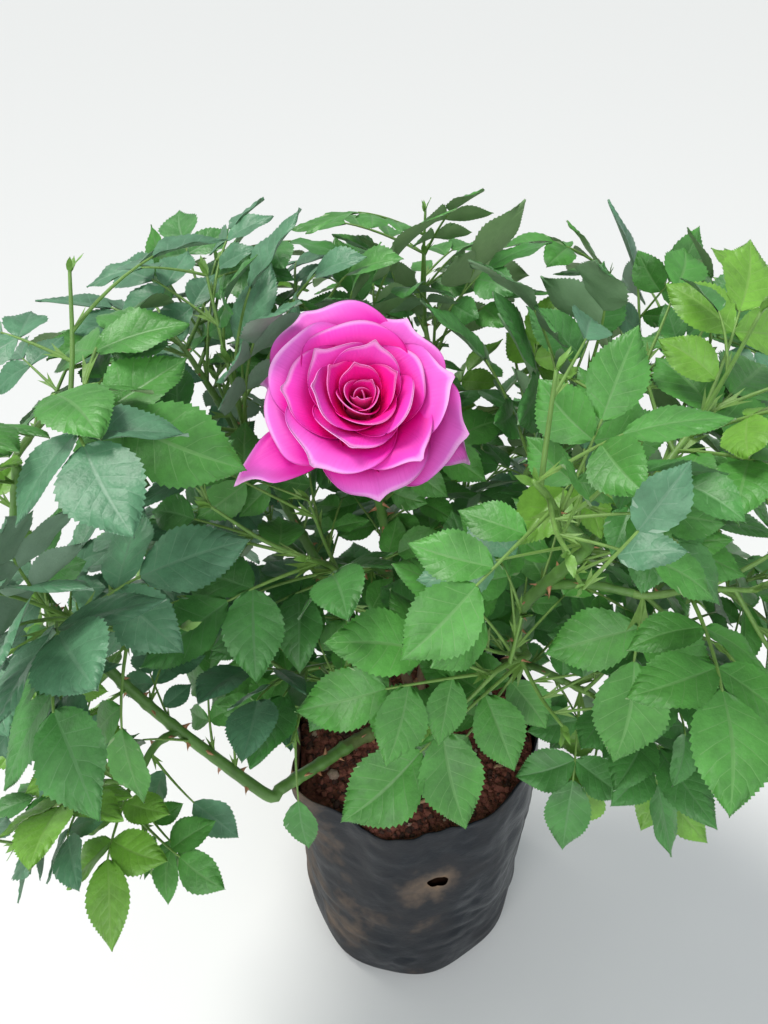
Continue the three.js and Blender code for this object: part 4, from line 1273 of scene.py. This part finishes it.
def bag_mesh(heap):
    columns = 288
    rows = 120
    turn = -circle(columns)[None]
    angle, share, inside = with_holes(*np.meshgrid(turn, steps(rows)))
    outer = bag_surface(angle, share, 0)
    lip = bag_surface(turn, np.ones((1, 1)), BAG_FILM / 2) + UP * 0.35
    inner = bag_surface(turn, np.linspace(1, 0.86, 14)[:, None], BAG_FILM)
    foot = outer[:1] * [0.9, 0.9, 0]
    points = np.concatenate([0 * foot, foot, outer, lip, inner])
    faces = grid_faces(len(points), columns, closed=True)
    hidden = np.zeros(points.shape[:2], bool)
    hidden[2:2 + rows] = inside
    heap.add(points, [faces[~hidden.ravel()[faces].all(1)]])


def soil_top(x, y):
    away = np.clip(np.hypot(x, y) / SOIL_LEVEL_RADIUS - 1, 0, 1)
    return SOIL_HEIGHT + away * (SOIL_HEAP * np.sin(x / 9 + 1) * np.cos(y / 11) - SOIL_DROP)


def soil_height(x, y):
    place = stacked(x, y, 0)
    rough = 1.3 * noise(place, 7, 11) + 0.8 * noise(place, 2.6, 12) + 0.4 * noise(place, 1.2, 13)
    return soil_top(x, y) - 0.6 + rough


def soil_mesh(heap):
    columns = 220
    angle = circle(columns)[None]
    edge = bag_surface(angle, np.full((1, 1), 0.9), 2.0)
    x, y, _ = np.moveaxis(edge * steps(80)[:, None, None], -1, 0)
    top = stacked(x, y, soil_height(x, y))
    walls = bag_surface(angle, np.linspace(0.86, 0.02, 30)[:, None], 2.4)
    points = np.concatenate([top, walls])
    faces = grid_faces(len(points), columns, closed=True)
    # Faces from the top's edge down the walls take the second material, a painted shade.
    heap.add(points, [faces], [np.arange(len(faces)) >= (len(top) - 1) * columns])


def lump_template():
    """A rounded lump of 20 faces: the corners of an icosahedron, and each three that are neighbours."""
    g = (1 + 5**0.5) / 2
    corners = [(-1, g, 0), (1, g, 0), (-1, -g, 0), (1, -g, 0), (0, -1, g), (0, 1, g),
               (0, -1, -g), (0, 1, -g), (g, 0, -1), (g, 0, 1), (-g, 0, -1), (-g, 0, 1)]
    faces = [(0, 11, 5), (0, 5, 1), (0, 1, 7), (0, 7, 10), (0, 10, 11), (1, 5, 9), (5, 11, 4),
             (11, 10, 2), (10, 7, 6), (7, 1, 8), (3, 9, 4), (3, 4, 2), (3, 2, 6), (3, 6, 8),
             (3, 8, 9), (4, 9, 5), (2, 4, 11), (6, 2, 10), (8, 6, 7), (9, 8, 1)]
    return unit(np.array(corners, float)), np.array(faces)


def scattered(heap, random, count, low, high, flat, rise):
    """Lumps of many sizes that lie on the soil."""
    lump, faces = lump_template()
    radius = (BAG_RADIUS - 3.5) * np.sqrt(random.random(count))
    angle = FULL_TURN * random.random(count)
    size = low + (high - low) * random.random(count) ** 2.6
    x = radius * np.cos(angle)
    y = radius * np.sin(angle)
    z = soil_height(x, y) + size * rise
    rough = 1 + 0.3 * (random.random((count, len(lump))) - 0.5)
    shape = lump * rough[..., None] * size[:, None, None]
    shape = shape * [1, 1, flat] * (0.7 + 0.6 * random.random((count, 1, 3)))
    turn = FULL_TURN * random.random(count)[:, None]
    shape = stacked(*spun(shape[..., 0], shape[..., 1], turn), shape[..., 2])
    heap.add_many((shape + stacked(x, y, z)[:, None])[radius > TRUNK_ROOM], [faces])


def straws(heap, random):
    """Dry bits of stalk and husk that lie across the soil."""
    for _ in range(STRAWS):
        r = 46 * math.sqrt(random.random())
        a = FULL_TURN * random.random()
        turn = FULL_TURN * random.random()
        reach = 3 + 7 * random.random()
        t = np.linspace(-0.5, 0.5, 5)
        x = r * math.cos(a) + reach * t * math.cos(turn)
        y = r * math.sin(a) + reach * t * math.sin(turn) + (random.random() - 0.5) * 3 * t**2
        wide = (0.35 + 0.7 * random.random()) * np.array([0.4, 1, 1.1, 0.9, 0.35])
        heap.add_rings(*tube(stacked(x, y, soil_height(x, y).max() + 0.5), wide, 6))


# The bloom


def petal_points(i, spin, draw):
    """Petal i, from the heart at 0 to the outermost: a cupped round blade that rises from the bloom's
    foot. Its inner side, across by along, and the places that its colours follow."""
    s = i / (PETALS - 1)
    behind = i in BEHIND
    length = lerp(19, 35, s**0.85) * (BEHIND[i][1] if behind else 1) * lerp(0.93, 1.07, draw())
    open_by = math.radians(lerp(3, 74, s**1.1))
    opened = open_by * lerp(0.88, 1.12, draw())
    curl = math.radians(lerp(-16, 36, s)) * lerp(0.5, 1.4, draw())
    phase = FULL_TURN * draw()
    off = lerp(-0.22, 0.22, draw())
    step = np.linspace(-1, 1, PETAL_GRID)
    u = (0.6 * step + 0.4 * np.sin(math.pi / 2 * step))[None]
    v = u.T
    aside = u * np.sqrt(1 - v**2 / 2)
    ahead = v * np.sqrt(1 - u**2 / 2)
    edge = np.hypot(aside, ahead)
    around = np.arctan2(aside, ahead)
    point, blunt = (0.28, 0.24) if behind else (0.1 * (i % 3 != 1), 0.12)
    cusp = point * np.exp(-np.abs((aside - off) / blunt) ** 1.4) * np.maximum(ahead, 0) ** 5
    ripple = 0.014 * edge**6 * np.sin(6 * around + 2 * phase)
    reach = 0.5 + 0.5 * ahead + cusp + ripple
    fine = np.linspace(0, 1.3, 60)
    tilt = opened * (0.45 + 0.55 * ease(fine / 0.5)) + curl * np.clip((fine - 0.55) / 0.45, 0, 1.3) ** 2
    stretch = length * np.diff(fine, prepend=0)
    r = lerp(0.5, 3.4, s) + np.interp(reach, fine, np.cumsum(stretch * np.sin(tilt)))
    h = lerp(3.5, 0, s) + np.interp(reach, fine, np.cumsum(stretch * np.cos(tilt)))
    lean = np.interp(reach, fine, tilt)
    half = (lerp(6, 42, s**0.7) - 23 * behind) / 2 * lerp(0.92, 1.08, draw())
    cup = np.maximum(lerp(1.0, 1.9, s) * r, half / 1.7)
    turn = half * aside * (1 + 0.12 * ahead) / cup
    ruffle = lerp(0.5, 1.5, draw()) * edge**4 * np.sin(3 * around + phase) * (0.35 + open_by)
    roll = 2.0 * ease((edge - 0.7) / 0.3) * ease((ahead + 0.4) / 0.6) * open_by
    inward = cup * (1 - np.cos(turn)) + 0.8 * ruffle - roll
    x, y = spun(r - inward * np.cos(lean), cup * np.sin(turn), spin)
    rim = 0.1 * ease((edge - 0.86) / 0.14) * (ahead > -0.5)
    places = stacked(0.5 + 0.5 * aside, 0.9 * (0.5 + 0.5 * ahead) + rim)
    return stacked(x, y, h + inward * np.sin(lean)), places


def shell(heap, points, thickness, looks, places=None):
    """A thin closed shell: the given side, the other side behind it, and its rim."""
    rows, columns = points.shape[:2]
    normal = unit(np.cross(np.gradient(points, axis=1), np.gradient(points, axis=0)))
    front = grid_faces(rows, columns)
    grid = np.arange(rows * columns).reshape(rows, columns)
    loop = np.concatenate([grid[0], grid[1:, -1], grid[-1, -2::-1], grid[-2:0:-1, 0]])
    after = np.roll(loop, -1)
    rim = np.stack([loop, loop + grid.size, after + grid.size, after], -1)
    both = np.concatenate([points, points + normal * thickness])
    places = None if places is None else np.concatenate([places, places])
    heap.add(both, [front[:, ::-1], front + grid.size, rim], looks, places)


def turned_to(points, axis, seat):
    """Points turned so that +Z lies along the axis, and moved to the seat."""
    axis = unit(axis)
    cross = np.cross(UP, axis)
    k = np.array([[0, -cross[2], cross[1]], [cross[2], 0, -cross[0]], [-cross[1], cross[0], 0]])
    matrix = np.eye(3) + k + k @ k / (1 + UP @ axis)
    return points @ matrix.T + seat


def bloom_meshes(heaps):
    draw = seeded(PETAL_SEED)
    for i in range(PETALS):
        spin = i * GOLDEN + 0.4 * (draw() - 0.5)
        if i in BEHIND:
            spin = math.radians(BEHIND[i][0])
        points, places = petal_points(i, spin, draw)
        heap = heaps[(i >= FIRST_MIDDLE_PETAL) + (i >= FIRST_OUTER_PETAL)]
        shell(heap, turned_to(points, BLOOM_FACING, PETAL_SEAT), PETAL_THICKNESS, [0, 1, 0], places)


def calyx_mesh(heap):
    """The hip under the bloom with five long sepals, and the neck that carries it."""
    z = np.linspace(HIP_PROFILE[0][0], HIP_PROFILE[-1][0], 24)
    rings, end = tube(stacked(0, 0, z), np.interp(z, *np.array(HIP_PROFILE).T), 20)
    heap.add_rings(turned_to(rings, BLOOM_AXIS, HIP_SEAT), turned_to(end, BLOOM_AXIS, HIP_SEAT))
    seat = turned_to(np.array([0, 0, -9.5]), BLOOM_AXIS, HIP_SEAT)
    neck = Curve([*lead_from(CANES["cane_bloom"]), seat])
    heap.add_rings(*tube(neck.at(steps(14)), np.linspace(1.5, 2.1, 14), 12))
    t = steps(12)[:, None]
    u = np.linspace(-1, 1, 5)
    wide = 3.1 * (1 - t) ** 0.9 * (0.75 + 0.5 * np.sin(math.pi * t)) + 0.15
    out = 3.2 + 15 * np.sin(1.25 * t) ** 1.1
    drop = -0.5 - 9 * t**1.4 + 1.2 * np.abs(u)
    for turn in circle(SEPALS) + 0.4:
        points = stacked(*spun(out, wide * u, turn), drop)
        shell(heap, turned_to(points, BLOOM_AXIS, HIP_SEAT), 0.3, 0)


def petal_material(name, deep, middle, pale, rim):
    """A petal: deep at its foot, paler outwards, with a light rim and fine ribs along it."""
    material, tree, node = shader(name, middle, 0.55, Specular_IOR_Level=0.3)
    place = add_node(tree, "TexCoord", {}).outputs["UV"]
    apart = add_node(tree, "SeparateXYZ", {"Vector": place})
    color = ramp(tree, apart.outputs["Y"], [(0.36, deep), (0.64, middle), (0.88, pale), (0.985, rim)])
    tree.links.new(color, node.inputs["Base Color"])
    stretch = add_node(tree, "Mapping", {"Vector": place}, Scale=(46, 2.5, 1))
    ribs = add_node(tree, "TexNoise", {"Vector": stretch.outputs["Vector"]}, Scale=1.0)
    bump(tree, node, ribs.outputs["Fac"], 0.00025, 0.6)
    return material


# Assembly


def film_material():
    """Black film: cleaner to its right, dusty with soil to its left and round its front hole."""
    material, tree, node = shader("film", (0.02, 0.022, 0.028), 0.42, Specular_IOR_Level=0.2)
    place = add_node(tree, "TexCoord", {}).outputs["Object"]
    apart = add_node(tree, "SeparateXYZ", {"Vector": place})
    leftward = mapped_range(tree, apart.outputs["X"], 0.02, -0.034, 0, 0.2)
    hole = add_node(tree, "VectorMath", {0: place})
    hole.operation = "DISTANCE"
    turn = math.radians(DRAIN_ANGLES[0])
    middle = np.array([BAG_RADIUS * math.cos(turn), BAG_RADIUS * math.sin(turn), DRAIN_HEIGHT])
    hole.inputs[1].default_value = middle * MM
    stain = mapped_range(tree, hole.outputs["Value"], 0.004, 0.024, 0.34, 0)
    dust = added(tree, added(tree, noise_node(tree, 30, 7, (1, 1, 0.8), 0.62), leftward), stain)
    tree.links.new(ramp(tree, dust, FILM_STOPS), node.inputs["Base Color"])
    tree.links.new(mapped_range(tree, dust, 0.45, 0.85, 0.3, 0.85), node.inputs["Roughness"])
    first = bump(tree, node, noise_node(tree, 90, 5), 0.0006)
    bump(tree, node, noise_node(tree, 700, 3), 0.0001, before=first)
    return material


def tint_of(leaf, draw):
    """A leaf's tint: bluer and greyer to the left, partly own tone and partly painted sky sheen, fresher to
    the right and high up, a few turning low down.
    """
    x, y, z = leaf["tip"]
    leftward = x < LEFT_SIDE
    weights = {
        "mid": 1.0,
        "blue": 1.5 if leftward else 0.45,
        "fresh": 0.5 if leftward else 1.5,
        "young": 0.0 if leaf.get("aimed") else 0.15 + 0.4 * float(ease((z - 270) / 60)),
        "turning": 0.10 if z < 215 and math.hypot(x, y) < 95 else 0.0,
    }
    pick = draw() * sum(weights.values())
    for tint, weight in weights.items():
        pick -= weight
        if pick <= 0:
            return tint
    return "mid"


def shoot_tips(curves, draw):
    """Small narrow young blades at the end of every stem and twig."""
    tips = []
    for curve in curves:
        ahead = curve.tangent(1)
        for k in range(3):
            away = -square_to(ahead, FULL_TURN * (k / 3 + draw()), UP + 0.01)
            direction = unit(ahead + away * lerp(0.1, 0.5, draw()))
            normal = unit(away - direction * (away @ direction))
            tips.append((curve.at(1) - ahead, direction, -normal, lerp(4.5, 8, draw())))
    return tips


def leaf_materials(tint):
    """The materials of a tint's blades: the upper side, the underside and the ribs."""
    upper, lower = TINTS[tint]
    rib = lerp(np.array(upper), np.array(lower), 0.22)
    return [
        mottled("leaf_" + tint, upper, 0.42, 80, 0.34, detail=9, grain=800, Specular_IOR_Level=0.45),
        mottled("leaf_under_" + tint, lower, 0.7, 260, 0.08, 0.00012),
        mottled("leaf_rib_" + tint, rib, 0.45, 260, 0.08, 0.00012),
    ]


def dress_foliage():
    leaves = off_the_limbs(towards_viewer(grown_leaves()))
    taken = TakenSpace()
    for leaf in leaves:
        taken.add(space_of(leaf), NAMES.index(leaf["spray"]))
    aimed = [space_of(leaf) for leaf in leaves if leaf["aimed"]]
    twigs, finer = finer_growth(taken, Shown(shown_stretches(SHOWN_LIMBS) + aimed))
    draw = seeded(FOLIAGE_SEED)
    kinds = {}
    stalks = Heap()
    sprays = {}
    for number, leaf in enumerate(leaves + finer):
        spray = leaf["spray"]
        if spray not in sprays or draw() < TINT_CHANGE:
            sprays[spray] = tint_of(leaf, draw)
        size = "large" if number < len(leaves) else "small"
        kinds.setdefault((sprays[spray], size), []).extend(leaf["leaflets"])
        stalk_mesh(stalks, leaf, draw)
    for (tint, size), leaflets in kinds.items():
        heap = Heap()
        blades(heap, leaflets, BLADES[size], draw)
        heap.made("foliage_" + size + "_" + tint, leaf_materials(tint), replaces=NAMES, slot="leaf")
    heap = Heap()
    blades(heap, shoot_tips([*STEMS.values(), *twigs], draw), BLADES["tip"], draw, slim=0.5)
    tip_green = mottled("shoot_tip", (0.16, 0.33, 0.06), 0.45, 200, 0.2)
    heap.made("shoot_tips", [tip_green] * 3, replaces=NAMES, slot="leaf")
    green = mottled("leaf_stalk", (0.16, 0.30, 0.06), 0.5, 300, 0.15)
    stalks.made("leaf_stalks", [green], replaces=NAMES, slot="leaf")
    return twigs


def dress_limbs(twigs):
    wood = bark("old_bark", (0.16, 0.105, 0.06), 0.85, 300, 0.35, 0.0005)
    ripe = bark("ripe_bark", (0.125, 0.18, 0.05), 0.6, 240, 0.3, 0.0003)
    green = bark("green_bark", (0.105, 0.235, 0.048), 0.45, 200, 0.2)
    young = bark("young_bark", (0.15, 0.29, 0.06), 0.45, 260, 0.2)
    thorn = mottled("prickle", (0.42, 0.2, 0.1), 0.4, 300, 0.3)
    canes = Heap()
    spikes = Heap()
    shoots = Heap()
    trunk_mesh(canes)
    for number, (name, curve) in enumerate(LIMB_CURVES.items()):
        radii = LIMBS[name]["radius"], LIMBS[name]["tip"]
        from_trunk = name in CANES and "follows" not in LIMBS[name]
        limb_mesh(canes, curve, *radii, number, wood=WOOD_SHARE * from_trunk)
        step = CANE_PRICKLE_STEP if name in CANES else BOUGH_PRICKLE_STEP
        limb_prickles(spikes, curve, *radii, number + 50, step)
    canes.made("canes_bark", [wood, ripe, green], replaces=["trunk", *LIMBS], slot="cane")
    for number, stem in enumerate(STEMS.values()):
        limb_mesh(shoots, stem, STEM_RADIUS, STEM_TIP_RADIUS, number + 100, sides=8)
        limb_prickles(spikes, stem, STEM_RADIUS, STEM_TIP_RADIUS, number + 150, STEM_PRICKLE_STEP)
    for twig in twigs:
        radii = np.linspace(FINE_TWIG_RADIUS, FINE_TWIG_TIP_RADIUS, 12)
        shoots.add_rings(*tube(twig.at(steps(12)), radii, 7), 2)
    shoots.made("twigs", [young] * 3, replaces=NAMES, slot="cane")
    spikes.made("prickles", [thorn], slot="cane")


def dress_bloom():
    heaps = [Heap() for _ in PETAL_COLORS]
    bloom_meshes(heaps)
    for heap, (name, colors) in zip(heaps, PETAL_COLORS.items()):
        backs = [shade(lerp(np.array(color), PETAL_BACK, 0.3), 0.95) for color in colors]
        inside = petal_material("petal_" + name, *colors)
        outside = petal_material("petal_back_" + name, *backs)
        heap.made("petals_" + name, [inside, outside], replaces=["bloom"], slot="petal", mapped=True)
    heap = Heap()
    calyx_mesh(heap)
    green = mottled("calyx", (0.13, 0.27, 0.055), 0.5, 300, 0.15)
    heap.made("calyx", [green], replaces=["bloom"], slot="leaf")


def dress_bag():
    heap = Heap()
    bag_mesh(heap)
    heap.made("bag_film", [film_material()], replaces=["bag"], slot="film")
    heap = Heap()
    soil_mesh(heap)
    ground = mottled("soil", (0.17, 0.052, 0.034), 0.95, 420, 0.45, 0.0008)
    # The soil's walls inside the bag, seen through the drain holes, are painted near-black and unreflecting:
    # painted shade.
    dark = mottled("soil_painted_shade", (0.012, 0.006, 0.004), 1.0, 420, 0.3, Specular_IOR_Level=0.0)
    heap.made("soil_heap", [ground, dark], replaces=["soil"], slot="soil")
    random = np.random.default_rng(SOIL_SEED)
    for name, color, *sizes in LUMPS:
        heap = Heap()
        scattered(heap, random, *sizes)
        heap.made(name, [mottled(name, color, 0.9, 500, 0.35, 0.0003)], slot="soil", smooth=False)
    heap = Heap()
    straws(heap, random)
    heap.made("soil_straws", [mottled("straw", (0.36, 0.23, 0.13), 0.8, 300, 0.3)], slot="soil")


def soft_light(name, kind, place, power, color, **settings):
    """A light that shines from a place towards the middle of the bush."""
    data = bpy.data.lights.new(name, kind)
    data.energy = power
    data.color = color
    for key, value in settings.items():
        setattr(data, key, value)
    turn = (Vector((0, 0, 0.2)) - Vector(place)).to_track_quat("-Z", "Y").to_euler()
    placed(name, data, place, turn)


def placed(name, data, place, turn=(0, 0, 0)):
    """An object in the scene."""
    made = bpy.data.objects.new(name, data)
    made.location = place
    made.rotation_euler = turn
    bpy.context.scene.collection.objects.link(made)
    return made


def dress_stage():
    """A plain pale floor, soft light and the camera at the photograph's angle."""
    mesh = bpy.data.meshes.new("floor")
    corners = [(-FLOOR, -FLOOR, 0), (FLOOR, -FLOOR, 0), (FLOOR, FLOOR, 0), (-FLOOR, FLOOR, 0)]
    mesh.from_pydata(corners, [], [(0, 1, 2, 3)])
    mesh.materials.append(shader("floor", (0.74, 0.74, 0.725), 0.9)[0])
    placed("floor", mesh, (0, 0, -0.0004))
    bpy.context.scene.view_settings.view_transform = "Standard"
    world = bpy.data.worlds.new("soft")
    world.use_nodes = True
    set_inputs(world.node_tree.nodes["Background"], dict(Color=(0.86, 0.93, 1.0, 1), Strength=0.5))
    bpy.context.scene.world = world
    soft_light("sky", "SUN", (-0.6, 0.3, 1.5), 2.5, (1.0, 0.985, 0.95), angle=math.radians(22))
    soft_light("fill", "AREA", (0.9, -0.9, 0.9), 4, (0.93, 0.97, 1.0), shape="DISK", size=1.2)
    soft_light("front", "AREA", (-0.5, -1.2, 0.9), 9, (1.0, 1.0, 1.0), shape="DISK", size=1.0)
    camera = bpy.data.cameras.new("camera")
    camera.sensor_width = 36
    camera.lens = CAMERA_LENS
    camera.clip_start = 0.01
    bpy.context.scene.camera = placed("camera", camera, CAMERA * MM, (CAMERA_TILT, 0, 0))


dress_stage()
dress_bag()
dress_limbs(dress_foliage())
dress_bloom()
